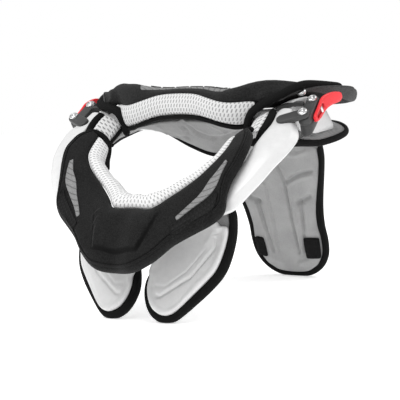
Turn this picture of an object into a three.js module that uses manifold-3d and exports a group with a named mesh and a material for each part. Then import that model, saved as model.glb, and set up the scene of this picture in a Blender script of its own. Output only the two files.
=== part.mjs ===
import * as THREE from 'three';
import { mergeVertices } from 'three/addons/utils/BufferGeometryUtils.js';
import Module from 'manifold-3d';

const wasm = await Module();
wasm.setup();

// Driving dimensions, in millimetres and degrees. The brace stands on its two chest paddles and its
// back pad: +X is the wearer's left, +Y the back, +Z up. The neck ring leans forward: its sizes are
// given in a ring frame that is turned about X by RING_TILT.
const RING_TILT = 35;
const BOLT_SPAN = 260;
const LINK_LENGTH = 26.5;
const CLEARANCE = 0.3;
const LIP_WIDTH = 7;
const BINDING_WIDTH = 8;
const CHEST_LEAN = 0.385;
const CHEST_WRAP = 0.001;
const CHEST_FOOT_Y = -3;
const CHEST_BEND_FROM = 55;
const CHEST_BEND = 0.0042;
const BACK_LEAN = -0.353;
const BACK_FOOT_Y = 299;
const BOLT_HEAD_RADIUS = 4.75;
const BOLT_SHANK_RADIUS = 2.4;
const BOLT_SIDES = 8;
const BAR_END_POINTS = 5;
const EDGE_SIDES = 6;
const LINK_RADIUS = 6.2;
const LINK_TOP = 99.6;
const LINK_FOOT_CLEAR = 70;
const TAB_TOP = 104;
const ARM_EDGE_DEPTH = 8;
const LEVER_PIVOT = { x: 138.6, y: 177 };

// The front table, from its middle to its rear tip: edges, rise of its top and depth of its underside.
// Lean is how far the cushion along its inner edge turns from lying flat to facing inwards.
const FRONT_ROWS = [
  { inner: [0, 58, 85], outer: [0, 3, 57], crown: 8, depth: 7, lean: 0 },
  { inner: [8, 57.5, 85], outer: [21, 0, 63], crown: 8, depth: 7, lean: 0 },
  { inner: [17, 57, 85], outer: [40, 9, 66], crown: 8, depth: 7, lean: 0 },
  { inner: [25, 59.5, 86], outer: [56, 25, 72], crown: 8, depth: 7, lean: 0.1 },
  { inner: [32, 68, 87], outer: [72, 39, 76], crown: 7.5, depth: 7, lean: 0.2 },
  { inner: [40, 76, 88.5], outer: [85, 51, 79], crown: 7.5, depth: 7, lean: 0.35 },
  { inner: [48, 83, 91], outer: [93, 62, 83], crown: 7, depth: 7, lean: 0.5 },
  { inner: [56, 89, 94], outer: [93.5, 73, 93], crown: 5, depth: 7, lean: 0.65 },
  { inner: [64, 96, 98], outer: [95, 84, 100], crown: 4, depth: 7, lean: 0.8 },
  { inner: [70.5, 104, 101.5], outer: [99, 98, 105.5], crown: 3, depth: 7, lean: 0.9 },
  { inner: [75, 112, 103.7], outer: [101, 112, 110.5], crown: 2.5, depth: 7, lean: 1 },
  { inner: [77, 121, 105.7], outer: [99.5, 124, 113], crown: 2, depth: 7, lean: 1 },
  { inner: [77.5, 130, 107], outer: [96, 135, 114], crown: 2, depth: 7, lean: 1 },
  { inner: [78, 138, 108], outer: [89, 144, 112.5], crown: 1.5, depth: 6, lean: 1 },
];

// The rear table, from its middle to its front end, with the foot of the cushion along its inner edge.
const REAR_ROWS = [
  { inner: [0, 180, 122], outer: [0, 262, 54], foot: [0, 167, 110], crown: 5.5, depth: 8 },
  { inner: [20, 179, 121.5], outer: [45, 264, 53], foot: [20, 166.5, 109], crown: 6.5, depth: 8 },
  { inner: [35, 174.5, 120], outer: [86, 268, 51], foot: [35, 164.5, 106.5], crown: 9.5, depth: 8 },
  { inner: [46, 172, 118], outer: [113, 270, 50], foot: [46, 163, 104], crown: 12.5, depth: 8 },
  { inner: [55, 173, 116], outer: [128, 266, 56], foot: [54, 163, 101.5], crown: 14, depth: 8 },
  { inner: [63, 176, 114.5], outer: [132.5, 254, 70], foot: [60, 164.5, 99], crown: 13, depth: 8 },
  { inner: [69.5, 180, 113.5], outer: [129, 237, 86], foot: [65, 167.5, 97], crown: 10.5, depth: 7 },
  { inner: [74.5, 183, 112.5], outer: [122, 218, 100], foot: [68.5, 171, 96], crown: 8, depth: 4.5 },
  { inner: [78, 185.5, 111], outer: [113, 202, 105], foot: [71, 174, 96], crown: 5.5, depth: 4.5 },
  { inner: [82, 186, 110], outer: [105, 187.5, 106.5], foot: [73, 175, 96], crown: 3, depth: 5 },
];
const REAR_CUSHION_ROWS = REAR_ROWS.slice(0, 8);

// The white arm, from the clasp down to its hidden end under the middle of the front table.
const ARM_ROWS = [
  { inner: [107, 169, 104], outer: [128, 164, 98], body: 8 },
  { inner: [105, 156, 105], outer: [133.5, 148, 96.5], body: 8 },
  { inner: [103, 141, 104.5], outer: [133, 134, 96.5], body: 8 },
  { inner: [100, 125, 102.5], outer: [130.5, 122, 97], body: 8 },
  { inner: [97, 110, 99], outer: [125.5, 110, 96], body: 8 },
  { inner: [90, 96, 93], outer: [118, 94, 92.5], body: 8 },
  { inner: [80, 84, 86], outer: [108, 79, 87.5], body: 8 },
  { inner: [68, 78, 81], outer: [97, 69, 81], body: 13 },
  { inner: [54, 75, 78], outer: [74, 65, 75], body: 16 },
  { inner: [28, 66, 77], outer: [42, 54, 72], body: 7 },
  { inner: [2, 62, 75], outer: [4, 46, 69], body: 5 },
];

// The grey insert and the rubber grip below it, let into the front table.
const INSERT_ROWS = [
  { inner: [85.2, 100.8, 107.4], outer: [88, 98.6, 106.8] },
  { inner: [80, 89, 105], outer: [86.3, 87, 104] },
  { inner: [75, 78.5, 101.7], outer: [84.8, 74, 98.7] },
  { inner: [69, 66, 98.5], outer: [76, 63, 96] },
  { inner: [61.5, 54.5, 94], outer: [65.5, 51.5, 92] },
  { inner: [52.8, 44.6, 89.4], outer: [55.4, 41.6, 87.8] },
];
const GRIP_ROWS = [
  { inner: [84.5, 71.5, 97.3], outer: [87, 69.5, 95.5] },
  { inner: [78.5, 63, 95], outer: [85.9, 56.4, 87.7] },
  { inner: [68.5, 52.5, 91.5], outer: [72, 44, 84.5] },
  { inner: [57, 41, 87], outer: [59, 32, 81] },
  { inner: [52, 36, 84.5], outer: [53.6, 29, 79.4] },
];

// The black edge along the front cushion, from the table's tip down its inner side.
const FRONT_EDGE_PATH = [
  [90, 147.6, 109], [84, 149.3, 106], [75, 148, 101], [68, 143, 95.5],
  [65.5, 134, 91.5], [64.5, 122, 89], [61, 111, 87],
];

// The black edge across the front end of the rear table and down beside the neck cushion.
const REAR_BAND_PATH = [
  [104, 183.6, 105.5], [96, 182, 107], [88, 181, 108.5], [80, 178.5, 108.5], [74.5, 175.5, 105.5],
  [70.5, 173, 100], [68, 171, 94],
];

// The pad beside the neck, along its length.
const SIDE_ROWS = [
  { outer: [101.5, 151.5, 107], inner: [78, 151.5, 95] },
  { outer: [102, 158, 107.6], inner: [76.5, 158, 94] },
  { outer: [101.7, 166, 107.2], inner: [75, 166, 93.5] },
  { outer: [101.4, 172, 106], inner: [73, 172, 94] },
];

// The lining over the shoulders, from its middle to its front ends, in the standing frame: top by the
// neck cushion, free edge below it, and back edge.
const LINING_ROWS = [
  { top: [0, 77, 179.5], edge: [0, 140, 143], back: [0, 244, 158] },
  { top: [25, 77, 178], edge: [25, 134, 152], back: [36, 244, 158] },
  { top: [47, 76.5, 173], edge: [48, 124, 166], back: [66, 240, 157] },
  { top: [60, 82, 171.5], edge: [65, 117, 170], back: [90, 225, 157] },
  { top: [68, 88, 170.5], edge: [79, 109, 167], back: [110, 204, 158] },
  { top: [77, 93, 169], edge: [91, 104, 163], back: [121, 184, 159] },
  { top: [87, 97, 166], edge: [100, 104, 157], back: [121, 162, 156.5] },
  { top: [96, 102, 162], edge: [106, 109, 154.5], back: [116, 138, 154] },
];

// The white rear frame, from its middle to its clasp ends, in the standing frame.
const FRAME_ROWS = [
  { footIn: [0, 112, 174], footOut: [0, 230, 169], topOut: [0, 170, 187], topIn: [0, 98, 187] },
  { footIn: [30, 111, 174], footOut: [36, 229, 169], topOut: [42, 170, 187], topIn: [27, 97, 187] },
  { footIn: [54, 109, 177], footOut: [62, 224, 169], topOut: [76, 170, 187], topIn: [50, 96, 187] },
  { footIn: [70, 109, 177], footOut: [84, 210, 169], topOut: [100, 167, 188], topIn: [66, 98, 187] },
  { footIn: [84, 110, 176], footOut: [101, 192, 169], topOut: [112, 156, 190], topIn: [80, 101, 188] },
  { footIn: [95, 112, 172], footOut: [111, 172, 168], topOut: [118, 140, 193], topIn: [92, 101, 190] },
  { footIn: [103, 113, 167], footOut: [115, 152, 167], topOut: [121, 124, 196], topIn: [103, 98, 193] },
  { footIn: [110, 112, 164], footOut: [117, 132, 166], topOut: [121, 112, 197], topIn: [112, 96, 196] },
];
const TAIL_ROWS = [
  { y: 190, z: 176, half: 30, thick: 5 },
  { y: 226, z: 166, half: 34, thick: 5 },
  { y: 254, z: 148, half: 36, thick: 4 },
  { y: 268, z: 116, half: 34, thick: 4 },
  { y: 281, z: 80, half: 30, thick: 4 },
  { y: 294.5, z: 42, half: 24, thick: 4 },
  { y: 301, z: 24, half: 15, thick: 4 },
];

// The clasp's link, from its top down: it stands along the screws, then its foot reaches forwards.
const LINK_LEVELS = [
  { z: LINK_TOP, ahead: 0 },
  { z: 89.5, ahead: 0 },
  { z: 83, ahead: 5 },
  { z: 76.5, ahead: 11 },
];

// The red lever, from its knuckle to its tip.
const LEVER_ROWS = [
  { x: 138.5, y: 175.2, half: 1.6, low: 87, high: 96 },
  { x: 138.6, y: 177, half: 2.4, low: 86, high: 98 },
  { x: 138.6, y: 186, half: 2, low: 85, high: 100 },
  { x: 138.6, y: 197, half: 2, low: 84, high: 100 },
  { x: 139.5, y: 207, half: 2.2, low: 83, high: 96 },
  { x: 141, y: 216, half: 2.2, low: 82.5, high: 93 },
  { x: 143, y: 224, half: 1.6, low: 83, high: 90.5 },
];

// Outlines seen from the front, x across and z up.
const CHEST_OUTLINE = [
  [30, -0.8], [41, 2.5], [57, 16], [72, 31], [81.5, 45], [85.5, 62], [87, 84], [83, 103],
  [62, 100], [38, 86], [18, 66], [7, 46], [3.5, 30], [6, 18], [12, 8], [20, 2],
];
const BACK_OUTLINE_HALF = [
  [0, -0.8], [20, 2], [35, 11], [44, 25], [46.5, 42], [46, 58], [48, 76], [52, 95], [57, 115], [61, 134],
  [56, 146], [30, 149], [0, 149.5],
];

const point = (x, y, z) => new THREE.Vector3(x, y, z);
const toPoint = list => point(...list);
const between = (a, b, share) => a.clone().lerp(b, share);

// One table row with every column taken between its neighbours on a smooth curve.
function rowAt(rows, place) {
  const last = rows.length - 1;
  const i = Math.min(Math.floor(place), last - 1);
  const [p, q, r, s] = [rows[Math.max(i - 1, 0)], rows[i], rows[i + 1], rows[Math.min(i + 2, last)]];
  const f = place - i;
  const smooth = (a, b, c, d) => (Array.isArray(b)
    ? b.map((_, n) => smooth(a[n], b[n], c[n], d[n]))
    : b + 0.5 * f * (c - a + f * (2 * a - 5 * b + 4 * c - d + f * (3 * (b - c) + d - a))));
  return Object.fromEntries(Object.keys(q).map(key => [key, smooth(p[key], q[key], r[key], s[key])]));
}

function stations(rows, count, from = 0, to = rows.length - 1) {
  return Array.from({ length: count }, (_, n) => rowAt(rows, from + (to - from) * n / (count - 1)));
}

function mirrorRow(row) {
  const flip = value => (Array.isArray(value) ? [-value[0], ...value.slice(1)] : value);
  return Object.fromEntries(Object.entries(row).map(([key, value]) => [key, flip(value)]));
}

const bothSides = rows => [...rows.slice(1).reverse().map(mirrorRow), ...rows];

// A closed body from corner points and triangles, turned to face outwards.
function bodyFrom(points, triangles) {
  const spanned = ([a, b, c]) => points[a].dot(new THREE.Vector3().crossVectors(points[b], points[c]));
  const volume = triangles.reduce((sum, triangle) => sum + spanned(triangle), 0);
  const facing = volume < 0 ? triangles.map(([a, b, c]) => [a, c, b]) : triangles;
  const geometry = new THREE.BufferGeometry();
  geometry.setAttribute('position', new THREE.Float32BufferAttribute(points.flatMap(p => p.toArray()), 3));
  geometry.setIndex(facing.flat());
  return geometry;
}

// Joins closed sections in a row, its facets alike on both halves. The two ends are closed by a fan,
// or joined to each other where the row is a loop.
function loft(sections, loop = false) {
  const size = sections[0].length;
  const points = sections.flat();
  const triangles = [];
  const spans = loop ? sections.length : sections.length - 1;
  for (let i = 0; i < spans; i += 1) {
    const here = i * size;
    const next = ((i + 1) % sections.length) * size;
    for (let j = 0; j < size; j += 1) {
      const k = (j + 1) % size;
      if (i < spans / 2) {
        triangles.push([here + j, here + k, next + k], [here + j, next + k, next + j]);
      } else {
        triangles.push([here + j, here + k, next + j], [here + k, next + k, next + j]);
      }
    }
  }
  if (!loop) {
    for (const [start, order] of [[0, 1], [points.length - size, -1]]) {
      const ring = points.slice(start, start + size);
      const middle = points.push(ring.reduce((sum, p) => sum.add(p), point(0, 0, 0)).divideScalar(size)) - 1;
      for (let j = 0; j < size; j += 1) {
        const k = (j + 1) % size;
        triangles.push(order > 0 ? [middle, start + k, start + j] : [middle, start + j, start + k]);
      }
    }
  }
  return bodyFrom(points, triangles);
}

// A plane across two edge points: s runs from the first to the second, h rises towards the guide.
function crossFrame(from, to, guide = point(0, 0, 1)) {
  const start = toPoint(from);
  const along = toPoint(to).sub(start);
  const width = along.length();
  along.normalize();
  const rise = guide.clone().addScaledVector(along, -guide.dot(along)).normalize();
  const at = (s, h) => start.clone().addScaledVector(along, s).addScaledVector(rise, h);
  return { width, at };
}

const inRing = geometry => geometry.rotateX(THREE.MathUtils.degToRad(RING_TILT));

function mirrored(geometry) {
  const copy = geometry.clone().scale(-1, 1, 1);
  const index = copy.index.array;
  for (let i = 0; i < index.length; i += 3) {
    [index[i + 1], index[i + 2]] = [index[i + 2], index[i + 1]];
  }
  return copy;
}

function merged(geometry) {
  const bare = geometry.clone();
  bare.deleteAttribute('normal');
  bare.deleteAttribute('uv');
  return mergeVertices(bare, 1e-4);
}

function toSolid(geometry) {
  const bare = merged(geometry);
  const vertProperties = new Float32Array(bare.attributes.position.array);
  const triVerts = new Uint32Array(bare.index.array);
  return new wasm.Manifold(new wasm.Mesh({ numProp: 3, vertProperties, triVerts }));
}

function fromSolid(solid) {
  const mesh = solid.getMesh();
  const geometry = new THREE.BufferGeometry();
  geometry.setAttribute('position', new THREE.Float32BufferAttribute(mesh.vertProperties, 3));
  geometry.setIndex(Array.from(mesh.triVerts));
  return geometry;
}

// The same body with every wall moved outwards: each corner moves until all the walls that meet
// there have moved.
function swollen(geometry, amount) {
  const copy = merged(geometry);
  const { position } = copy.attributes;
  const index = copy.index.array;
  const cornerAt = (_, n) => new THREE.Vector3().fromBufferAttribute(position, n);
  const corners = Array.from({ length: position.count }, cornerAt);
  const walls = corners.map(() => []);
  for (let i = 0; i < index.length; i += 3) {
    const triangle = Array.from(index.slice(i, i + 3));
    const [a, b, c] = triangle.map(n => corners[n]);
    const facing = new THREE.Triangle(a, b, c).getNormal(new THREE.Vector3());
    triangle.forEach(n => walls[n].push(facing));
  }
  corners.forEach((corner, n) => {
    const move = point(0, 0, 0);
    for (let turn = 0; turn < 12; turn += 1) {
      for (const facing of walls[n]) {
        move.addScaledVector(facing, Math.max(amount - facing.dot(move), 0));
      }
    }
    move.clampLength(0, 4 * amount);
    position.setXYZ(n, corner.x + move.x, corner.y + move.y, corner.z + move.z);
  });
  return copy;
}

// Cuts a piece back from its neighbours, with the usual gap, so that it sits against them.
function seated(piece, ...neighbours) {
  const cut = (solid, next) => solid.subtract(toSolid(swollen(next, CLEARANCE)));
  return fromSolid(neighbours.reduce(cut, toSolid(piece)));
}

// Flattens a piece where it rests on the floor.
function flattened(piece) {
  const below = new THREE.BoxGeometry(800, 800, 20).translate(0, 0, -10);
  return fromSolid(toSolid(piece).subtract(toSolid(below)));
}

function joined(...pieces) {
  return fromSolid(pieces.map(toSolid).reduce((sum, next) => sum.add(next)));
}

// A smooth closed outline through its corner points.
function outlineThrough(corners, count) {
  const curve = new THREE.CatmullRomCurve3(corners.map(([x, z]) => point(x, 0, z)), true);
  return Array.from({ length: count }, (_, n) => curve.getPoint(n / count));
}

// A point of an outline moved in towards its middle, and lifted off the surface that it follows.
function insetPlace(corner, middle, place, { inset, reach = 1, lift }) {
  const out = corner.clone().sub(middle);
  const length = Math.max(out.length() - inset, 0.5) * reach;
  const p = out.setLength(length).add(middle);
  return place(p.x, p.z, lift);
}

// A pad or plate: loops of its outline from the middle of one face, over the edge, to the middle of
// the other.
function padBody(outline, middle, place, profile) {
  return loft(profile.map(step => outline.map(corner => insetPlace(corner, middle, place, step))));
}

// A binding: one section carried round an outline.
function bindingBody(outline, middle, place, section) {
  return loft(outline.map(corner => section.map(step => insetPlace(corner, middle, place, step))), true);
}

const BINDING_SECTION = [
  { inset: 1.5, lift: 5 }, { inset: BINDING_WIDTH, lift: 5.5 }, { inset: BINDING_WIDTH, lift: -5.5 },
  { inset: 1.5, lift: -5 }, { inset: 0, lift: -2 }, { inset: 0, lift: 2 },
];

// The tables
const tableSection = ({ inner, outer, crown, depth }) => {
  const { width, at } = crossFrame(inner, outer);
  const lip = Math.min(LIP_WIDTH, 0.4 * width);
  const profile = [
    [0, -depth],
    [0, -0.5],
    [0.08 * width, 0.75 * crown],
    [0.35 * width, crown],
    [width - lip, 0.85 * crown],
    [width - 0.8 * lip, 0.6 * crown],
    [width - 0.3 * lip, 0.5 * crown],
    [width, -0.4 * depth],
    [width - 2, -depth],
    [0.5 * width, -depth - 1],
  ];
  return profile.map(([s, h]) => at(s, h));
};

// A thin piece let into a table, and the pocket that takes it.
function inlay(rows, count, rise, sink) {
  const section = ({ inner, outer }) => {
    const { width, at } = crossFrame(inner, outer);
    return [[0, -sink], [0, rise], [width, rise], [width, -sink]].map(([s, h]) => at(s, h));
  };
  return inRing(loft(stations(rows, count).map(section)));
}

const frontInsertLeft = inlay(INSERT_ROWS, 6, 0.8, 4);
const frontGripLeft = inlay(GRIP_ROWS, 5, 0.6, 4);
const pocketHeight = 9;
const insertPocket = inlay(INSERT_ROWS, 6, pocketHeight, 4);
const gripPocket = inlay(GRIP_ROWS, 5, pocketHeight, 4);
const frontTable = seated(
  inRing(loft(stations(bothSides(FRONT_ROWS), 27).map(tableSection))),
  insertPocket, gripPocket, mirrored(insertPocket), mirrored(gripPocket),
);
const frontGripSeated = seated(frontGripLeft, frontInsertLeft);

const rearInsertSection = (rise, sink) => ({ inner, outer, crown }) => {
  const { at } = crossFrame(inner, outer);
  const profile = [[5, -sink], [5, 0.72 * crown + rise], [12, 0.95 * crown + rise], [12, -sink]];
  return profile.map(([s, h]) => at(s, h));
};
const rearMiddle = stations(bothSides(REAR_ROWS), 9, 6.2, 11.8);
const rearInsert = inRing(loft(rearMiddle.map(rearInsertSection(0.8, 1))));
const rearTable = seated(
  inRing(loft(stations(bothSides(REAR_ROWS), 21).map(tableSection))),
  inRing(loft(rearMiddle.map(rearInsertSection(pocketHeight, 1)))),
);

// Round black edges along the cushions
const EDGE_RADIUS = 2.8;
const BAND_RADIUS = 3.6;

function roundEdge(path, radius) {
  const corners = Array.from({ length: EDGE_SIDES }, (_, n) => new THREE.Vector2(radius, 0).rotateAround(
    new THREE.Vector2(), 2 * Math.PI * n / EDGE_SIDES,
  ));
  const extrudePath = new THREE.CatmullRomCurve3(path.map(toPoint));
  const options = { steps: 10, extrudePath, bevelEnabled: false };
  return inRing(merged(new THREE.ExtrudeGeometry(new THREE.Shape(corners), options)));
}

const frontEdge = roundEdge(FRONT_EDGE_PATH, EDGE_RADIUS);
const rearEdge = roundEdge(REAR_BAND_PATH, BAND_RADIUS);
const frontBindingLeft = seated(frontEdge, frontTable);
const rearBandLeft = seated(rearEdge, rearTable);

// The mesh cushions
const cushionSection = ({ inner, outer, lean }) => {
  const { at } = crossFrame(inner, outer);
  const profile = [
    [-0.4, 0, -1], [-5, 0.5, -3], [-10, -0.5, -5], [-14, -4, -8], [-15.5, -10, -13],
    [-13, -15, -18], [-5, -15, -16], [-0.4, -8, -8],
  ];
  return profile.map(([s, flat, turned]) => at(s, flat + (turned - flat) * lean));
};
const frontCushion = seated(
  inRing(loft(stations(bothSides(FRONT_ROWS), 21).map(cushionSection))),
  frontTable, frontEdge, mirrored(frontEdge),
);

const towardsNeck = (rows, n) => {
  const before = rows[Math.max(n - 1, 0)].inner;
  const after = rows[Math.min(n + 1, rows.length - 1)].inner;
  return point(after[1] - before[1], before[0] - after[0], 0).normalize();
};
const rearCushionSection = (row, n, rows) => {
  const { width, at } = crossFrame(row.inner, row.foot, towardsNeck(rows, n));
  const profile = [
    [0.5, -0.5], [0.25 * width, 4], [0.5 * width, 5.5], [0.75 * width, 4.5],
    [width - 1.1, 1.5], [width - 1.1, -9],
  ];
  return profile.map(([s, h]) => at(s, h));
};
const rearBindingSection = (row, n, rows) => {
  const { width, at } = crossFrame(row.inner, row.foot, towardsNeck(rows, n));
  return [[0, -9], [0, 2.5], [2, 3.5], [4.5, 2], [5, -9]].map(([s, h]) => at(width + s, h));
};
const rearCushionStations = stations(bothSides(REAR_CUSHION_ROWS), 15);
const rearCushion = seated(
  inRing(loft(rearCushionStations.map(rearCushionSection))), rearTable, rearEdge, mirrored(rearEdge),
);
const rearCushionBinding = seated(
  inRing(loft(rearCushionStations.map(rearBindingSection))), rearTable, rearEdge, mirrored(rearEdge),
);

// The clasp: link, tab and screws stand along the ring frame's Z axis.
const frontBoltAt = { x: BOLT_SPAN / 2, y: 172 };
const rearBoltAt = { x: BOLT_SPAN / 2 - 2.7, y: frontBoltAt.y + LINK_LENGTH - 0.2 };
const frameBoltAt = { x: 113.5, y: 206 };
const tabEndAt = { x: 110, y: 161 };

// The outline of a bar with round ends, seen along Z.
function barOutline(a, b, radius) {
  const angle = Math.atan2(b.y - a.y, b.x - a.x);
  const end = (centre, from) => Array.from({ length: BAR_END_POINTS }, (_, n) => {
    const turn = from + Math.PI * n / (BAR_END_POINTS - 1);
    return point(centre.x + radius * Math.cos(turn), centre.y + radius * Math.sin(turn), 0);
  });
  return [...end(a, angle + Math.PI / 2), ...end(b, angle - Math.PI / 2)];
}

function roundBar(a, b, radius, low, high) {
  const outline = barOutline(a, b, radius);
  return loft([low, high].map(z => outline.map(p => point(p.x, p.y, z))));
}

function bolt(at, seat, shank) {
  const profile = [
    [0, -shank], [BOLT_SHANK_RADIUS, -shank], [BOLT_SHANK_RADIUS, 0], [BOLT_HEAD_RADIUS, 0],
    [BOLT_HEAD_RADIUS - 1, 2.4], [1.7, 2.6], [1.5, 1], [0, 1],
  ];
  const turned = new THREE.LatheGeometry(profile.map(([r, h]) => new THREE.Vector2(r, h)), BOLT_SIDES);
  return merged(turned.rotateX(Math.PI / 2).translate(at.x, at.y, seat));
}

const shortShank = 3;
const longShank = 18;
const frontBoltLeft = inRing(bolt(frontBoltAt, TAB_TOP + CLEARANCE, shortShank));
const frontBoltRight = mirrored(inRing(bolt(frontBoltAt, TAB_TOP + CLEARANCE, longShank)));
const rearBoltLeft = inRing(bolt(rearBoltAt, LINK_TOP + CLEARANCE, longShank));
const frameBoltLeft = inRing(bolt(frameBoltAt, 95, shortShank));
const tabSolid = inRing(roundBar(frontBoltAt, tabEndAt, LINK_RADIUS, LINK_TOP + CLEARANCE, TAB_TOP));
const linkOutline = barOutline(frontBoltAt, rearBoltAt, LINK_RADIUS);
const linkLevel = ({ z, ahead }) => linkOutline.map(p => point(p.x, p.y - ahead, z));
const linkSolid = inRing(loft(LINK_LEVELS.map(linkLevel)));
const tabLeft = seated(tabSolid, frontBoltLeft);
const tabRight = seated(mirrored(tabSolid), frontBoltRight);
const linkLeft = seated(linkSolid, rearBoltLeft);
const linkRight = seated(mirrored(linkSolid), mirrored(rearBoltLeft), frontBoltRight);

const leverSection = ({ x, y, half, low, high }) => [
  [half, low + 1], [half, high - 1], [0.4 * half, high], [-0.4 * half, high],
  [-half, high - 1], [-half, low + 1], [-0.4 * half, low], [0.4 * half, low],
].map(([out, z]) => point(x + out, y, z));
const leverWindow = new THREE.BoxGeometry(20, 13, 7).translate(LEVER_PIVOT.x, LEVER_PIVOT.y + 14, 92);
const leverLeft = inRing(fromSolid(
  toSolid(loft(stations(LEVER_ROWS, 9).map(leverSection))).subtract(toSolid(leverWindow)),
));

// The white arms, which carry the table and the chest paddles
const armSection = ({ inner, outer, body }) => {
  const { width, at } = crossFrame(inner, outer);
  const profile = [
    [0, 0], [0.2 * width, 1.8], [0.5 * width, 2.6], [0.82 * width, 1.6], [width, -1.5],
    [width - 2, -Math.min(body, ARM_EDGE_DEPTH)], [0.5 * width, -body + 1], [1.5, -body],
  ];
  return profile.map(([s, h]) => at(s, h));
};
const linkSweep = inRing(roundBar(frontBoltAt, rearBoltAt, LINK_RADIUS + 0.7, LINK_FOOT_CLEAR, LINK_TOP));
const armLeft = seated(
  inRing(loft(stations(ARM_ROWS, 14).map(armSection))),
  frontTable, frontCushion, frontEdge, tabSolid, linkSweep,
);

// The chest paddles
const chestY = (x, z) => {
  const past = Math.max(z - CHEST_BEND_FROM, 0);
  return CHEST_FOOT_Y + CHEST_LEAN * z + CHEST_WRAP * x * x - CHEST_BEND * past * past;
};
const chestLean = Math.atan(CHEST_LEAN);
const chestPlace = (x, z, lift) => point(
  x, chestY(x, z) - lift * Math.cos(chestLean), z + lift * Math.sin(chestLean),
);
const chestOutline = outlineThrough(CHEST_OUTLINE, 22);
const chestMiddle = point(46, 0, 50);
const plateProfile = [
  { inset: 9, reach: 0.3, lift: 8 }, { inset: 9, reach: 0.75, lift: 7.6 }, { inset: 13, lift: 7 },
  { inset: 10.5, lift: 8.2 }, { inset: 8.6, lift: 7.4 }, { inset: 8.6, lift: 4.9 },
  { inset: 9, reach: 0.3, lift: 4.9 },
];
const chestPadProfile = [
  { inset: 9, reach: 0.3, lift: 4.2 }, { inset: BINDING_WIDTH + 0.4, lift: 4.2 },
  { inset: BINDING_WIDTH + 0.4, lift: -4 }, { inset: 14, lift: -6.5 }, { inset: 9, reach: 0.4, lift: -8 },
];
const chestPlateLeft = seated(padBody(chestOutline, chestMiddle, chestPlace, plateProfile), armLeft);
const chestPadLeft = seated(padBody(chestOutline, chestMiddle, chestPlace, chestPadProfile), armLeft);
const chestBindingLeft = seated(
  flattened(bindingBody(chestOutline, chestMiddle, chestPlace, BINDING_SECTION)), armLeft, chestPlateLeft,
);

// The pads beside the neck
const sideLength = SIDE_ROWS.length - 1;
const sidePlace = (x, z, lift) => {
  const { inner, outer } = rowAt(SIDE_ROWS, THREE.MathUtils.clamp(x, 0, 1) * sideLength);
  const { width, at } = crossFrame(outer, inner);
  return at(z * width, lift);
};
const sideSection = (from, to, top, low, tuck = 0) => t => [
  sidePlace(t, from + tuck, low), sidePlace(t, from, top), sidePlace(t, (from + to) / 2, top + 0.8),
  sidePlace(t, to, top), sidePlace(t, to, low),
];
const lengthwise = Array.from({ length: 5 }, (_, n) => n / 4);
const sidePadLeft = seated(
  inRing(loft(lengthwise.map(sideSection(0.32, 0.85, 0.5, -9)))), rearEdge, rearCushionBinding,
);
const sideBindingLeft = seated(
  inRing(loft(lengthwise.map(sideSection(0, 1, 0, -12.5, 0.28)))),
  inRing(loft(lengthwise.map(sideSection(0.32, 0.85, 3, -9)))),
  rearEdge, rearTable, rearCushion, rearCushionBinding,
);

// The rear frame and its tail down the back
const frameSection = ({ footIn, footOut, topOut, topIn }) => {
  const [a, b, c, d] = [footIn, footOut, topOut, topIn].map(toPoint);
  return [a, between(a, b, 0.5), b, between(b, c, 0.5).add(point(0, 0, 2)), c, between(c, d, 0.5), d];
};
const frameSolid = loft(stations(bothSides(FRAME_ROWS), 15).map(frameSection));
const tailSection = ({ y, z, half, thick }) => [
  [-half, 0], [half, 0], [half - 2, thick], [-half + 2, thick],
].map(([x, lift]) => point(x, y + 0.9 * lift, z + 0.45 * lift));
const tail = loft(stations(TAIL_ROWS, 7).map(tailSection));
const rearFrame = seated(
  joined(frameSolid, tail), rearTable, rearCushion, rearCushionBinding, rearEdge, mirrored(rearEdge),
  linkSolid, mirrored(linkSolid),
  frameBoltLeft, mirrored(frameBoltLeft),
);

// The lining over the shoulders and its binding
const liningSection = ({ top, edge, back }) => {
  const [t, e, b] = [top, edge, back].map(toPoint);
  const front = between(e, b, Math.min(7 / e.distanceTo(b), 0.25));
  const rear = between(b, e, Math.min(7 / e.distanceTo(b), 0.25));
  const up = point(0, 0, 9);
  return [
    t, between(t, e, 0.5).add(point(0, 1, -2)), between(e, t, 0.12), front,
    between(front, rear, 0.5), rear, rear.clone().add(up), between(front, rear, 0.5).add(up).add(up),
    t.clone().add(point(0, 8, 3)),
  ];
};
const liningStations = stations(bothSides(LINING_ROWS), 15);
const rearPad = seated(
  loft(liningStations.map(liningSection)),
  frameSolid, tail, rearCushionBinding, rearCushion, sidePadLeft, mirrored(sidePadLeft),
  sideBindingLeft, mirrored(sideBindingLeft), linkSolid, mirrored(linkSolid),
);
const liningEdge = liningStations.map(row => toPoint(row.edge));
const liningBack = liningStations.map(row => toPoint(row.back)).reverse();
const liningLoop = [...liningEdge, ...liningBack];
const liningMiddle = point(0, 175, 160);
const edgeSection = p => {
  const out = p.clone().sub(liningMiddle).setZ(0).normalize();
  const place = (away, rise) => p.clone().addScaledVector(out, away).add(point(0, 0, rise));
  return [place(-6, 5), place(0.5, 4.5), place(2, 0), place(0.5, -3), place(-6, -3.5)];
};
const rearPadBinding = seated(
  loft(liningLoop.map(edgeSection), true), rearPad, frameSolid, tail, linkSolid, mirrored(linkSolid),
);

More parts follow.
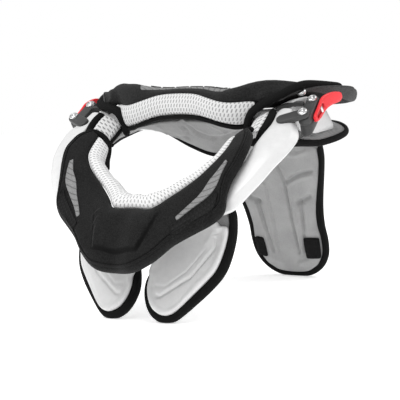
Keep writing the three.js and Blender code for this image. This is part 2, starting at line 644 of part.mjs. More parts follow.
// The back pad
const backLean = Math.atan(-BACK_LEAN);
const backPlace = (x, z, lift) => point(
  x, BACK_FOOT_Y + BACK_LEAN * z - lift * Math.cos(backLean), z - lift * Math.sin(backLean),
);
const mirroredHalf = BACK_OUTLINE_HALF.slice(1, -1).reverse().map(([x, z]) => [-x, z]);
const backOutline = outlineThrough([...BACK_OUTLINE_HALF, ...mirroredHalf], 30);
const backMiddle = point(0, 0, 76);
const backPadProfile = [
  { inset: 8, reach: 0.3, lift: 5.5 }, { inset: 8, reach: 0.8, lift: 5.5 },
  { inset: BINDING_WIDTH + 0.4, lift: 3.5 }, { inset: BINDING_WIDTH + 0.4, lift: -5 },
  { inset: 8, reach: 0.3, lift: -5 },
];
const thoracicPad = seated(padBody(backOutline, backMiddle, backPlace, backPadProfile), tail);
const thoracicBinding = seated(
  flattened(bindingBody(backOutline, backMiddle, backPlace, BINDING_SECTION)), tail,
);

// The strap between the link and the pad beside the neck
const strapCurve = new THREE.QuadraticBezierCurve3(
  point(122, 191, 0), point(107, 191, 0), point(99, 174, 0),
);
const strapPath = strapCurve.getPoints(8);
const strapSection = (p, n) => {
  const ahead = strapCurve.getTangent(n / 8);
  const side = point(-ahead.y, ahead.x, 0);
  return [[-1.5, 96.5], [1.5, 96.5], [1.5, 101.5], [-1.5, 101.5]].map(
    ([out, z]) => p.clone().addScaledVector(side, out).setZ(z),
  );
};
const strapLeft = seated(
  inRing(loft(strapPath.map(strapSection))),
  linkSolid, sideBindingLeft, rearTable, rearFrame, rearBoltLeft, rearEdge,
);

// Patches of hook tape on the back pad
const patchCorners = [[20.5, 25.5], [35.3, 25.5], [36.8, 49], [21, 48]];
const patchBody = loft([4.2, 7.4].map(lift => patchCorners.map(([x, z]) => backPlace(x, z, lift))));
const patchLeft = seated(patchBody, thoracicPad);

// Finishes
const finish = (color, roughness, metalness = 0) => () => (
  new THREE.MeshStandardMaterial({ color, roughness, metalness })
);
const blackFoam = finish(0x232323, 0.85);
const blackBinding = finish(0x151515, 0.7);
const whiteMesh = finish(0xf0f0f0, 0.9);
const whiteShell = finish(0xf6f6f6, 0.35);
const greyLining = finish(0x989898, 0.9);
const greyInsert = finish(0x969696, 0.6);
const gripRubber = finish(0x303030, 0.6);
const claspGrey = finish(0x464646, 0.5);
const silver = finish(0xd0d0d0, 0.25, 1);
const leverRed = finish(0xee2b36, 0.4);

const brace = new THREE.Group();

function add(name, geometry, material) {
  const body = merged(geometry);
  body.computeVertexNormals();
  const mesh = new THREE.Mesh(body, material());
  mesh.name = name;
  brace.add(mesh);
}

function addPair(name, left, material, right = mirrored(left)) {
  add(`${name}_left`, left, material);
  add(`${name}_right`, right, material);
}

add('front_table', frontTable, blackFoam);
add('front_cushion', frontCushion, whiteMesh);
addPair('front_binding', frontBindingLeft, blackBinding);
addPair('front_insert', frontInsertLeft, greyInsert);
addPair('front_grip', frontGripSeated, gripRubber);
addPair('front_arm', armLeft, whiteShell);
addPair('chest_plate', chestPlateLeft, whiteShell);
addPair('chest_pad', chestPadLeft, greyLining);
addPair('chest_binding', chestBindingLeft, blackBinding);
addPair('clasp_tab', tabLeft, claspGrey, tabRight);
addPair('front_bolt', frontBoltLeft, silver, frontBoltRight);
add('rear_table', rearTable, blackFoam);
add('rear_insert', rearInsert, greyInsert);
addPair('rear_band', rearBandLeft, blackBinding);
add('rear_cushion', rearCushion, whiteMesh);
add('rear_cushion_binding', rearCushionBinding, blackBinding);
addPair('side_pad', sidePadLeft, whiteMesh);
addPair('side_binding', sideBindingLeft, blackBinding);
add('rear_frame', rearFrame, whiteShell);
add('rear_pad', rearPad, greyLining);
add('rear_pad_binding', rearPadBinding, blackBinding);
add('thoracic_pad', thoracicPad, greyLining);
add('thoracic_binding', thoracicBinding, blackBinding);
addPair('thoracic_patch', patchLeft, blackBinding);
addPair('clasp_link', linkLeft, claspGrey, linkRight);
addPair('clasp_strap', strapLeft, claspGrey);
addPair('rear_bolt', rearBoltLeft, silver);
addPair('frame_bolt', frameBoltLeft, silver);
addPair('lever', leverLeft, leverRed);

// The origin is on the floor, under the middle of the whole brace.
const box = new THREE.Box3().setFromObject(brace);
brace.position.set(0, -(box.min.y + box.max.y) / 2, -box.min.z);

export default brace;
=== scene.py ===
import math
import bmesh
import bpy
from mathutils import Matrix, Vector
from mathutils.bvhtree import BVHTree


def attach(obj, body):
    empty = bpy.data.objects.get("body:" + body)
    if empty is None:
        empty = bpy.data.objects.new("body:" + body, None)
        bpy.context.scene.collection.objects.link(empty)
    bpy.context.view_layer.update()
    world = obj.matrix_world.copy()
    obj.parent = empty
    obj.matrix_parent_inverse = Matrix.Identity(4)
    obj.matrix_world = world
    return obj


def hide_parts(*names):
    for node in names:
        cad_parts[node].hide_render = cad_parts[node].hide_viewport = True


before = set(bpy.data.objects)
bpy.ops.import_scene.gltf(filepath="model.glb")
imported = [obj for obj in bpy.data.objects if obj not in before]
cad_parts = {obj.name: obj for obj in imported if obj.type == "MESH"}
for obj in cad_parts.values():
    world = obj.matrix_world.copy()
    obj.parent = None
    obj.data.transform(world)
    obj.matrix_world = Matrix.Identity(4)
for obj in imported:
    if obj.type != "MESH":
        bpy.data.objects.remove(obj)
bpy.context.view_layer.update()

# Sizes are in mm. The brace stands level, and the collar leans back in its own plane.
MM = 0.001
LEAN = math.radians(35)
FLOOR_MIDDLE = 133.174
FLOOR_GAP = 0.3
TURN = 2 * math.pi
SIDES = (("left", 1), ("right", -1))


def standing(x, y, z):
    """A place measured level with the floor."""
    return Vector((x, y - FLOOR_MIDDLE, z)) * MM


def ring(x, y, z):
    """A place measured in the leaning plane of the collar."""
    return standing(
        x,
        y * math.cos(LEAN) - z * math.sin(LEAN),
        y * math.sin(LEAN) + z * math.cos(LEAN),
    )


RING_DOWN = Vector((0, math.sin(LEAN), -math.cos(LEAN)))


# Curves and sections
def ease(low, high, x):
    """A soft step from 0 at low to 1 at high."""
    t = min(max((x - low) / (high - low), 0), 1)
    return t * t * (3 - 2 * t)


def hump(x, middle, half):
    """A soft hump: 1 at its middle, about a third at half its width."""
    return math.exp(-(((x - middle) / half) ** 2))


def lerp(a, b, t):
    """The place a share t of the way from a to b."""
    return tuple(p + (q - p) * t for p, q in zip(a, b))


def along_rows(rows, t):
    """The row at t, on a smooth curve through every column of a table."""
    k = min(int(t), len(rows) - 2)
    f = t - k

    def curve(a, b, c, d):
        if isinstance(b, tuple):
            return tuple(curve(*v) for v in zip(a, b, c, d))
        return b + 0.5 * f * (c - a + f * (2 * a - 5 * b + 4 * c - d + f * (3 * (b - c) + d - a)))

    near = [rows[min(max(k + step, 0), len(rows) - 1)] for step in (-1, 0, 1, 2)]
    return curve(*near)


def both_sides(rows):
    """Rows of the right side up to the middle, then the given rows of the left side."""

    def mirrored(row):
        return tuple((-c[0], *c[1:]) if isinstance(c, tuple) else c for c in row)

    return [mirrored(row) for row in reversed(rows[1:])] + list(rows)


def stations(rows, step, first=0.0, last=None):
    """Evenly spread places along a table of rows."""
    last = len(rows) - 1 if last is None else last
    count = max(round((last - first) / step), 1)
    return [first + (last - first) * k / count for k in range(count + 1)]


def smooth_loop(points, per):
    """A closed curve through the points, with per steps between each pair."""
    count = len(points)
    wrapped = [tuple(points[(k - 1) % count]) for k in range(count + 3)]
    return [along_rows(wrapped, 1 + k / per) for k in range(count * per)]


def rounded(loop, reach):
    """A loop with its corners cut back by reach."""
    cut = []
    for k, corner in enumerate(loop):
        for other in (loop[k - 1], loop[(k + 1) % len(loop)]):
            edge = other - corner
            cut.append(corner + edge * min(reach / max(edge.length, 1e-6), 0.4))
    return cut


class Across:
    """Places across a strip from its inner to its outer edge, by distance and height."""

    def __init__(self, inner, outer, guide=(0, 0, 1)):
        self.start = Vector(inner)
        self.run = Vector(outer) - self.start
        self.width = self.run.length
        self.run.normalize()
        guide = Vector(guide)
        self.rise = (guide - self.run * guide.dot(self.run)).normalized()

    def __call__(self, distance, height):
        return self.start + self.run * distance + self.rise * height

    def loop(self, profile, side=1):
        """A profile of distances and heights, set in the plane of the collar on one side."""
        spots = [self(distance, height) for distance, height in profile]
        return [ring(p.x * side, p.y, p.z) for p in spots]


# Making pieces
def swept(sections, closed=False):
    """A skin drawn along a row of loops; along and around hold the way over it in mm."""
    bm = bmesh.new()
    along = bm.verts.layers.float.new("along")
    around = bm.verts.layers.float.new("around")
    count = len(sections[0])
    loop = bmesh.ops.create_circle(bm, segments=count, radius=MM)["verts"]

    def rim(verts):
        return [bm.edges.get((verts[k - 1], verts[k])) for k in range(count)]

    first = rim(loop)
    gone = 0
    last_middle = None
    for section in sections:
        middle = sum(section, Vector()) / count
        if last_middle:
            made = bmesh.ops.extrude_edge_only(bm, edges=rim(loop))["geom"]
            fresh = {v for v in made if isinstance(v, bmesh.types.BMVert)}
            beside = [{e.other_vert(v) for e in v.link_edges} & fresh for v in loop]
            loop = [found.pop() for found in beside]
            gone += (middle - last_middle).length / MM
        last_middle = middle
        way = 0
        for k, vert in enumerate(loop):
            vert.co = section[k]
            way += (section[k] - section[k - 1]).length / MM if k else 0
            vert[along] = gone
            vert[around] = way
    if closed:
        bmesh.ops.bridge_loops(bm, edges=first + rim(loop))
    else:
        for end in (first, rim(loop)):
            bmesh.ops.edgeloop_fill(bm, edges=end)
    return bm


def tube(path, wide, high, guide, count=10):
    """Sections of a cord with round ends along a path; guide is the direction of its height."""
    sections = []
    last = len(path) - 1
    turns = [TURN * n / count for n in range(count)]
    end_sizes = {0: [(-0.9, 0.3), (-0.65, 0.72), (0, 1)], last: [(0, 1), (0.65, 0.72), (0.9, 0.3)]}
    for k, place in enumerate(path):
        way = (path[min(k + 1, last)] - path[max(k - 1, 0)]).normalized()
        side = way.cross(guide).normalized()
        up = side.cross(way)
        rim = [side * math.cos(a) * wide + up * math.sin(a) * high for a in turns]
        for ahead, size in end_sizes.get(k, [(0, 1)]):
            middle = place + way * ahead * min(wide, high) * MM
            sections.append([middle + p * size * MM for p in rim])
    return sections


# How the cloth of the rolls is blown up
SWELL_FRAMES = 20
SWELL_PRESSURE = 3.0
SWELL_CAP = 2.0


def swelled(obj, held):
    """Blows the cloth of a pad up a little, with some of its points held."""
    rest = [v.co.copy() for v in obj.data.vertices]
    group = obj.vertex_groups.new(name="held")
    group.add(held, 1.0, "REPLACE")
    cloth = obj.modifiers.new("swell", "CLOTH")
    cloth.settings.use_pressure = True
    cloth.settings.uniform_pressure_force = SWELL_PRESSURE
    cloth.settings.effector_weights.gravity = 0
    cloth.settings.vertex_group_mass = "held"
    cloth.settings.quality = 5
    cloth.point_cache.frame_start = 1
    cloth.point_cache.frame_end = SWELL_FRAMES
    for number in range(1, SWELL_FRAMES + 1):
        bpy.context.scene.frame_set(number)
    graph = bpy.context.evaluated_depsgraph_get()
    moved = [v.co.copy() for v in obj.evaluated_get(graph).data.vertices]
    obj.modifiers.remove(cloth)
    obj.vertex_groups.remove(group)
    for vert, before, after in zip(obj.data.vertices, rest, moved):
        step = after - before
        if step.length > SWELL_CAP * MM:
            step *= SWELL_CAP * MM / step.length
        vert.co = before + step
    bpy.context.scene.frame_set(1)


def piece(name, bm, body, slot, finish, *nodes, levels=1, swell=None, pad=None, trim=None):
    """Makes one finished piece of the brace out of its mesh."""
    bmesh.ops.recalc_face_normals(bm, faces=bm.faces[:])
    mesh = bpy.data.meshes.new(name)
    bm.to_mesh(mesh)
    bm.free()
    for face in mesh.polygons:
        face.use_smooth = True
    obj = bpy.data.objects.new(name, mesh)
    bpy.context.scene.collection.objects.link(obj)
    mesh.materials.append(finish.material)
    if trim:
        second, count, places = trim
        mesh.materials.append(second.material)
        for face in mesh.polygons:
            if all(v % count in places for v in face.vertices):
                face.material_index = 1
    if swell:
        swelled(obj, swell)
    if levels:
        skin = obj.modifiers.new("skin", "SUBSURF")
        skin.levels = levels
        skin.render_levels = levels
    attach(obj, body)
    if nodes:
        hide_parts(*nodes)
    return obj


# The raised panel in the middle of the front table
PANEL_RISE = 3.2
PANEL_FOOT = 13.5
PANEL_EDGE = 1.4
PANEL_HALF = 20.6
PANEL_HALF_AT = 4.9
PANEL_FLARE = 0.3135
PANEL_ROWS = 3.5


def panel_half(y):
    """Half the width of the panel, which flares towards the neck."""
    return PANEL_HALF + PANEL_FLARE * (y - PANEL_HALF_AT)


# Finishes
def math_node(operation, flipped=False):
    """A method of Value that adds one Math node; flipped puts its own socket last."""

    def method(value, *others):
        terms = (*others, value) if flipped else (value, *others)
        return value.finish.node("ShaderNodeMath", {"operation": operation}, dict(enumerate(terms)))

    return method


class Value:
    """A socket of a finish; sums on it add Math nodes."""

    def __init__(self, finish, socket):
        self.finish = finish
        self.socket = socket

    __add__ = math_node("ADD")
    __radd__ = math_node("ADD", flipped=True)
    __sub__ = math_node("SUBTRACT")
    __rsub__ = math_node("SUBTRACT", flipped=True)
    __mul__ = math_node("MULTIPLY")
    __rmul__ = math_node("MULTIPLY", flipped=True)
    __truediv__ = math_node("DIVIDE")
    __mod__ = math_node("FLOORED_MODULO")
    floor = math_node("FLOOR")
    part = math_node("FRACT")
    size = math_node("ABSOLUTE")
    root = math_node("SQRT")
    most = math_node("MAXIMUM")
    wave = math_node("SINE")

    def step(self, low, high):
        """A soft step from 0 at low to 1 at high."""
        sockets = {"Value": self, "From Min": low, "From Max": high}
        return self.finish.node("ShaderNodeMapRange", {"interpolation_type": "SMOOTHSTEP"}, sockets)


class Finish:
    """The material of one kind of surface."""

    def __init__(self, name, **fixed):
        self.material = bpy.data.materials.new(name)
        self.material.use_nodes = True
        self.tree = self.material.node_tree
        self.shader = self.tree.nodes["Principled BSDF"]
        for key, value in fixed.items():
            self.shader.inputs[key.replace("_", " ")].default_value = value

    def node(self, kind, settings=None, sockets=None, out=0):
        made = self.tree.nodes.new(kind)
        for key, value in (settings or {}).items():
            setattr(made, key, value)
        for key, value in (sockets or {}).items():
            if isinstance(value, Value):
                self.tree.links.new(value.socket, made.inputs[key])
            else:
                made.inputs[key].default_value = value
        return Value(self, made.outputs[out])

    def place(self):
        return self.node("ShaderNodeTexCoord", out=3)

    def axes(self):
        made = self.node("ShaderNodeSeparateXYZ", None, {0: self.place()})
        return [Value(self, out) for out in made.socket.node.outputs]

    def layer(self, name):
        return self.node("ShaderNodeAttribute", {"attribute_name": name}, out=2)

    def noise(self, scale, detail=2.0, roughness=0.5):
        sockets = {"Vector": self.place(), "Scale": scale, "Detail": detail, "Roughness": roughness}
        return self.node("ShaderNodeTexNoise", None, sockets)

    def cells(self, scale):
        return self.node("ShaderNodeTexVoronoi", None, {"Vector": self.place(), "Scale": scale})

    def blend(self, share, low, high):
        return self.node("ShaderNodeMix", {"data_type": "RGBA"}, {0: share, 6: low, 7: high}, out=2)

    def greys(self, share, low, high):
        return self.blend(share, paint(low), paint(high))

    def wear(self, **sockets):
        """Joins what changes over the surface to the shader."""
        for key, value in sockets.items():
            self.tree.links.new(value.socket, self.shader.inputs[key.replace("_", " ")])
        return self

    def dress(self, tone, rough, height, depth, strength):
        """Joins a tone, a roughness and a relief of some depth in mm to the shader."""
        sockets = {"Height": height, "Distance": depth * MM, "Strength": strength}
        normal = self.node("ShaderNodeBump", None, sockets)
        return self.wear(Base_Color=tone, Roughness=rough, Normal=normal)


def paint(red, green=None, blue=None):
    """A colour as it is seen, from 0 to 255, made linear."""
    seen = (red, red if green is None else green, red if blue is None else blue)
    return (*[((c / 255 + 0.055) / 1.055) ** 2.4 if c > 10 else c / 255 / 12.92 for c in seen], 1.0)


def slots(along, around, pitch, row, long, half):
    """1 on the cloth and 0 in the slots of a staggered mesh, in mm."""
    line = (around / row).floor()
    shift = (line % 2) * 0.5
    beside = ((along / pitch + shift).part() - 0.5) * pitch
    past = (((around / row).part() - 0.5) * row).size() - long
    far = past.most(0.0)
    gap = (beside * beside + far * far).root()
    return gap.step(half * 0.6, half * 1.25)


def panel_crease_and_shade(finish):
    """1 in the crease round the panel of the front table, which the foam finish sinks and paints with
    shade.
    """
    x, y, z = (axis / MM for axis in finish.axes())
    way = (y + FLOOR_MIDDLE) * math.cos(LEAN) + z * math.sin(LEAN)
    beside = x.size() - panel_half(way) - PANEL_EDGE
    below = PANEL_FOOT - PANEL_EDGE - way
    gap = beside.most(below).size()
    return (1 - gap.step(0.4, 2.2)) * (1 - way.step(40.0, 52.0))


def foam_finish(name, dark, pale, crease_and_shade=None):
    """Matt grained fabric laminated on foam; a given crease is sunk and painted with shade."""
    finish = Finish(name, Specular_IOR_Level=0.15, Sheen_Weight=0.06, Sheen_Roughness=0.45)
    grain = finish.noise(850.0, 3.0, 0.65)
    blotch = finish.noise(60.0)
    tone = finish.greys((grain * 0.85 + blotch * 0.15).step(0.32, 0.68), dark, pale)
    height = grain
    if crease_and_shade:
        crease_and_painted_shade = crease_and_shade(finish)
        # Painted shade: the crease is darkened almost to black.
        tone = finish.blend(crease_and_painted_shade * 0.85, tone, paint(2))
        height = grain - crease_and_painted_shade * 0.8
    return finish.dress(tone, 0.78 + grain * 0.18, height, 0.6, 0.8)


def binding_finish():
    """Black ribbed webbing, folded over an edge."""
    finish = Finish("binding_webbing", Specular_IOR_Level=0.12)
    pitch = 1.1
    rib = (finish.layer("along") * (TURN / pitch)).wave()
    fuzz = finish.noise(1800.0)
    shade = rib * 0.25 + fuzz
    return finish.dress(finish.greys(shade.step(0.25, 0.85), 9, 22), 0.7 + fuzz * 0.25, shade, 0.3, 0.6)


def mesh_finish(name, pitch, row, long, half, slant, hole, low, high):
    """White spacer mesh: spacing and half sizes of its staggered slots, their slant, then greys."""
    finish = Finish(name, Sheen_Weight=0.15, Specular_IOR_Level=0.2)
    around = finish.layer("around")
    along = finish.layer("along") + around * slant
    cloth = slots(along, around, pitch, row, long, half)
    weave = finish.noise(1600.0)
    thread = finish.greys((weave + 0.15).step(0.2, 0.7), low, high)
    tone = finish.blend(cloth, paint(hole), thread)
    return finish.dress(tone, 0.95 - weave * 0.2, cloth + weave * 0.2, 0.7, 0.6)


def insert_finish():
    """Grey moulding with fine slanting ribs."""
    finish = Finish("insert_ribs", Specular_IOR_Level=0.4)
    pitch = 7.5
    way = finish.layer("along") + finish.layer("around") * 0.9
    rib = (((way / pitch).part() - 0.5).size() * 2.0).step(0.72, 0.96)
    speck = finish.noise(900.0)
    tone = finish.blend(rib, finish.greys(speck.step(0.3, 0.7), 120, 140), paint(98))
    return finish.dress(tone, 0.55 + speck * 0.2, 1 - rib, 0.4, 0.8)


def grip_finish():
    """Dark rubber with a relief of small cells."""
    finish = Finish("grip_rubber", Specular_IOR_Level=0.2)
    pitch = 3.6
    along = finish.layer("along") * (TURN / pitch)
    around = finish.layer("around") * (TURN / pitch)
    waves = around.wave()
    for turn in (60, 120):
        leg = along * math.sin(math.radians(turn)) + around * math.cos(math.radians(turn))
        waves = waves + leg.wave()
    cell = (waves / 3.0).step(-0.25, 0.45)
    dust = finish.noise(700.0)
    tone = finish.greys((cell * 0.8 + dust * 0.4).step(0.1, 1.0), 2, 20)
    return finish.dress(tone, 0.5 + dust * 0.2, cell, 0.7, 0.8)


def shell_finish(name, low, high, rough):
    """Smooth white moulding with faint scuffs."""
    finish = Finish(name, Specular_IOR_Level=0.5)
    cloud = finish.noise(14.0, 3.0)
    scuff = finish.noise(160.0, 4.0, 0.7)
    tone = finish.greys((cloud * 0.6 + scuff * 0.4).step(0.25, 0.7), low, high)
    return finish.dress(tone, rough + scuff.step(0.45, 0.8) * 0.14, scuff, 0.08, 0.25)


def lining_finish(name, low, high):
    """Grey knitted fabric over moulded foam."""
    finish = Finish(name, Sheen_Weight=0.3, Sheen_Roughness=0.4, Specular_IOR_Level=0.2)
    pitch = 1.3 * MM
    x, y, z = finish.axes()
    warp = ((x + y * 0.35) * (TURN / pitch)).wave()
    weft = ((z - y * 0.35) * (TURN / pitch)).wave()
    fuzz = finish.noise(1300.0)
    blotch = finish.noise(45.0)
    knit = warp * weft * 0.25 + fuzz
    tone = finish.greys((knit * 0.55 + blotch * 0.45).step(0.25, 0.75), low, high)
    return finish.dress(tone, 0.85 + fuzz * 0.12, knit, 0.3, 0.6)


def satin_finish(name, low, high, rough, grain):
    """Moulded plastic with a fine spark-eroded grain."""
    finish = Finish(name, Specular_IOR_Level=0.45)
    speck = finish.noise(1200.0)
    cloud = finish.noise(35.0, 3.0)
    tone = finish.blend((speck * 0.4 + cloud * 0.6).step(0.3, 0.7), low, high)
    return finish.dress(tone, rough + speck * 0.15, speck, grain, 0.5)


def steel_finish():
    """Bright screws, turned on a lathe."""
    finish = Finish("screw_steel", Metallic=1.0)
    speck = finish.noise(2200.0)
    smear = finish.noise(120.0)
    return finish.dress(finish.greys(smear.step(0.3, 0.7), 196, 228), 0.2 + speck * 0.18, speck, 0.04, 0.3)


def hook_finish():
    """Black hook tape."""
    finish = Finish("patch_hooks", Specular_IOR_Level=0.15, Sheen_Weight=0.05)
    tufts = finish.cells(900.0)
    tone = finish.greys(tufts.step(0.2, 0.8), 18, 5)
    return finish.dress(tone, 0.8 + tufts * 0.15, 1 - tufts, 0.6, 0.8)


# The front table's foam has painted shade in the crease round its panel.
FOAM = foam_finish("table_foam", 10, 34, panel_crease_and_shade)
# Painted light: a lighter copy of the table foam, for the light that falls on the top of the rear table.
FOAM_PAINTED_LIGHT = foam_finish("rear_table_foam_painted_light", 22, 44)
FOAM_RIM = foam_finish("rear_rim_foam", 62, 86)
BINDING = binding_finish()
MESH_FINE = mesh_finish("mesh_small_slots", 3.4, 4.0, 1.0, 0.55, 0.0, 176, 212, 234)
MESH_REAR = mesh_finish("mesh_rear_slots", 3.3, 4.2, 1.1, 0.6, 0.25, 156, 196, 220)
MESH_WIDE = mesh_finish("mesh_wide_slots", 4.6, 5.6, 1.4, 0.8, 0.4, 150, 206, 230)
INSERT = insert_finish()
GRIP = grip_finish()
SHELL = shell_finish("shell_white", 214, 228, 0.3)
FRAME_WHITE = shell_finish("frame_white", 190, 208, 0.38)
PLATE = shell_finish("plate_white", 206, 222, 0.38)
LINING = lining_finish("lining_grey", 120, 148)
PAD_GREY = lining_finish("back_pad_grey", 148, 176)
CLASP = satin_finish("clasp_satin", paint(48), paint(66), 0.45, 0.1)
LEVER = satin_finish("lever_red", paint(226, 26, 36), paint(244, 48, 58), 0.3, 0.05)
LEVER_CORE = satin_finish("lever_deep_red", paint(150, 4, 8), paint(196, 12, 16), 0.4, 0.05)
STEEL = steel_finish()
HOOKS = hook_finish()

# The front half. Its table: inner edge, outer edge, crown, lean of the cushion
FRONT_ROWS = [
    ((0, 58, 85), (0, 1.5, 58), 8, 0),
    ((8, 57.5, 85), (21, 0, 63), 8, 0),
    ((17, 57, 85), (38.5, 11, 67), 8, 0),
    ((25, 59.5, 86), (54, 26.5, 73), 8, 0.1),
    ((32, 68, 87), (71, 40, 76.5), 7.5, 0.2),
    ((40, 76, 88.5), (85, 51, 79), 7.5, 0.35),
    ((48, 83, 91), (93, 62, 83), 7, 0.5),
    ((56, 89, 94), (93.5, 73, 93), 5, 0.65),
    ((64, 96, 98), (95, 84, 100), 4, 0.8),
    ((70.5, 104, 101.5), (99, 98, 105.5), 3, 0.9),
    ((75, 112, 103.7), (101, 112, 110.5), 2.5, 1),
    ((77, 121, 105), (99.5, 124, 112), 2, 1),
    ((77.5, 130, 105.5), (96, 135, 112), 1.8, 1),
    ((78, 138, 105.5), (88, 143.5, 109.5), 1.2, 1),
]
FRONT_ALL = both_sides(FRONT_ROWS)
FRONT_MIDDLE = len(FRONT_ROWS) - 1
TABLE_DEPTH = 7
FRONT_RIM = 0.92
FRONT_LIP = 4.6
REAR_RIM = 0.4
REAR_LIP = 7.0

# Across the top of a table: share of the way, height in crowns and, in front, share of the raised panel
FRONT_TOP = (
    (0.04, 0.38, 0), (0.1, 0.74, 0.2), (0.22, 0.94, 0.7), (0.38, 1, 1), (0.52, 1, 1), (0.64, 0.99, 1),
    (0.72, 0.98, 1), (0.78, 0.97, 1), (0.81, 0.965, 1), (0.84, 0.96, 1), (0.87, 0.955, 1), (0.91, 0.95, 1),
)
WING_TOP = (
    (0.025, 0.32), (0.06, 0.6), (0.1, 0.82), (0.17, 1.06), (0.28, 1.2), (0.43, 1.08), (0.58, 0.87),
    (0.74, 0.64), (0.88, 0.48),
)
MIDDLE_TOP = (
    (0.025, 0.3), (0.06, 0.56), (0.1, 0.8), (0.17, 1.06), (0.28, 0.9), (0.43, 0.5), (0.58, 0.2),
    (0.74, 0.0), (0.88, -0.1),
)
# Along the outer lip: way in from the edge in lips, height in rims, depth of its grooves
LIP = (
    (1.22, 0.98, 0), (1.12, 0.97, 1), (1.02, 0.95, 1), (0.92, 0.94, 0), (0.75, 0.9, 0), (0.6, 0.8, 0),
    (0.52, 0.76, 0.7), (0.43, 0.66, 0.5), (0.32, 0.56, 0), (0.1, 0.2, 0),
)


def table_loop(at, crown, depth, top, rim, lip, raised=None):
    """Section of a padded table: a soft crown, then two grooves along the rolled outer lip."""
    wide = at.width
    lip = min(lip, 0.24 * wide)
    span = wide - 1.7 * lip
    rim = rim * crown
    cut = min(2.0, 0.26 * lip + 0.2)
    profile = [(4.0, -depth, 0), (1.2, -0.5 * depth, 0), (0.2, -0.4, 0)]
    profile += [(share * span, height * crown, part) for share, height, part in top]
    profile.append((wide - 1.55 * lip, rim, 1))
    profile += [(wide - way * lip, height * rim - groove * cut, 0) for way, height, groove in LIP]
    profile += [
        (wide, -0.15 * depth, 0), (wide - 0.4, -0.65 * depth, 0), (wide - 0.25 * lip, -depth, 0),
        (0.7 * wide, -depth - 0.5, 0), (0.35 * wide, -depth - 0.7, 0),
    ]
    loop = []
    for distance, height, part in profile:
        spot = at(distance, height)
        lift = part * raised(spot) if raised else 0
        loop.append(ring(*(spot + at.rise * lift)))
    return loop


def centre_panel(spot):
    """Height of the raised panel, which fades out towards the neck."""
    edge = panel_half(spot.y)
    sides = 1 - ease(edge - 0.6, edge + 1.6, abs(spot.x))
    foot = ease(PANEL_FOOT - PANEL_EDGE, PANEL_FOOT + 0.8, spot.y)
    return PANEL_RISE * sides * foot * (1 - ease(44, 54, spot.y))


def front_table():
    """The black horseshoe round the front of the neck, finely cut where its panel stands up."""
    fine = stations(FRONT_ALL, 0.09, FRONT_MIDDLE - PANEL_ROWS, FRONT_MIDDLE + PANEL_ROWS)
    coarse = stations(FRONT_ALL, 0.25, 0, fine[0] - 0.25)
    sections = []
    for t in coarse + fine + [2 * FRONT_MIDDLE - t for t in reversed(coarse)]:
        inner, outer, crown, _ = along_rows(FRONT_ALL, t)
        at = Across(inner, outer)
        sections.append(table_loop(at, crown, TABLE_DEPTH, FRONT_TOP, FRONT_RIM, FRONT_LIP, centre_panel))
    pad = swept(sections)
    return piece("front_table_pad", pad, "front_half", "table_foam", FOAM, "front_table", pad=0.95)


def cushion_roll(name, sections, seams, body, finish, node):
    """A roll of mesh over foam, blown up a little between its seams and its ends."""
    count = len(sections[0])
    rows = range(len(sections))
    held = [k * count + n for k in rows for n in range(count) if n in seams or k in (0, rows[-1])]
    piece(name, swept(sections), body, "mesh", finish, node, swell=held, pad=0.8)


# Round the front roll: way in from the table, height where it lies flat and where it leans
FRONT_ROLL = (
    (-0.2, 0.9, 0.2), (-5, 3.2, 1.6), (-10, 3.4, 0.4), (-14.8, -0.4, -4.2), (-16, -8, -11),
    (-13, -14.6, -17.6), (-5, -14.8, -16), (-0.2, -8, -8),
)


def front_cushion():
    """The mesh roll along the inner edge of the front table, fullest beside the middle."""
    sections = []
    for t in stations(FRONT_ALL, 0.3):
        inner, outer, _, lean = along_rows(FRONT_ALL, t)
        full = 1 + 0.28 * hump(abs(t - FRONT_MIDDLE), 2.9, 1.1)
        corners = [(way * full, flat + (turned - flat) * lean) for way, flat, turned in FRONT_ROLL]
        sections.append(Across(inner, outer).loop(smooth_loop(corners, 2)))
    count = len(sections[0])
    seams = (0, count - 1, count - 2)
    cushion_roll("front_cushion_roll", sections, seams, "front_half", MESH_FINE, "front_cushion")


# How far above a surface the strips start before they are laid on it
LAID_FROM = 30


def laid(tree, start, down, lift):
    """The place below start on a surface, raised by lift."""
    return tree.ray_cast(start, down)[0] - down.normalized() * lift * MM


def laid_strip(tree, rows, step, across, side):
    """Sections of a thin strip that lies on a surface; across gives share and lift."""
    sections = []
    for t in stations(rows, step):
        inner, outer = along_rows(rows, t)
        loop = []
        for share, lift in across:
            x, y, z = lerp(inner, outer, share)
            loop.append(laid(tree, ring(x * side, y, z + LAID_FROM), RING_DOWN, lift))
        sections.append(loop)
    return sections


def surface_of(obj):
    """The finished surface of a piece, to lay strips on."""
    bpy.context.view_layer.update()
    return BVHTree.FromObject(obj, bpy.context.evaluated_depsgraph_get())


# Inner and outer edges of what is let into the table, then share and lift across it
INSERT_ROWS = [
    ((85.2, 100.8, 107.4), (88, 98.6, 106.8)),
    ((80, 89, 105), (86.3, 87, 104)),
    ((73.8, 80.5, 101.7), (83.8, 76, 98.7)),
    ((67.8, 68, 98.5), (75, 65, 96)),
    ((60.3, 56.5, 94), (64.5, 53.5, 92)),
    ((52.8, 44.6, 89.4), (55.4, 41.6, 87.8)),
]
GRIP_ROWS = [
    ((84.5, 71.5, 97.3), (87, 69.5, 95.5)),
    ((78.5, 63, 95), (85.9, 56.4, 87.7)),
    ((68.5, 52.5, 91.5), (72, 44, 84.5)),
    ((57, 41, 87), (59, 32, 81)),
    ((52, 36, 84.5), (53.6, 29, 79.4)),
]
INSERT_ACROSS = (
    (0, -1.2), (0, 0.5), (0.04, 0.95), (0.12, 0.95), (0.2, 0.55), (0.4, 0.6), (0.6, 0.6), (0.8, 0.55),
    (0.88, 0.95), (0.96, 0.95), (1, 0.5), (1, -1.2), (0.5, -1.2),
)
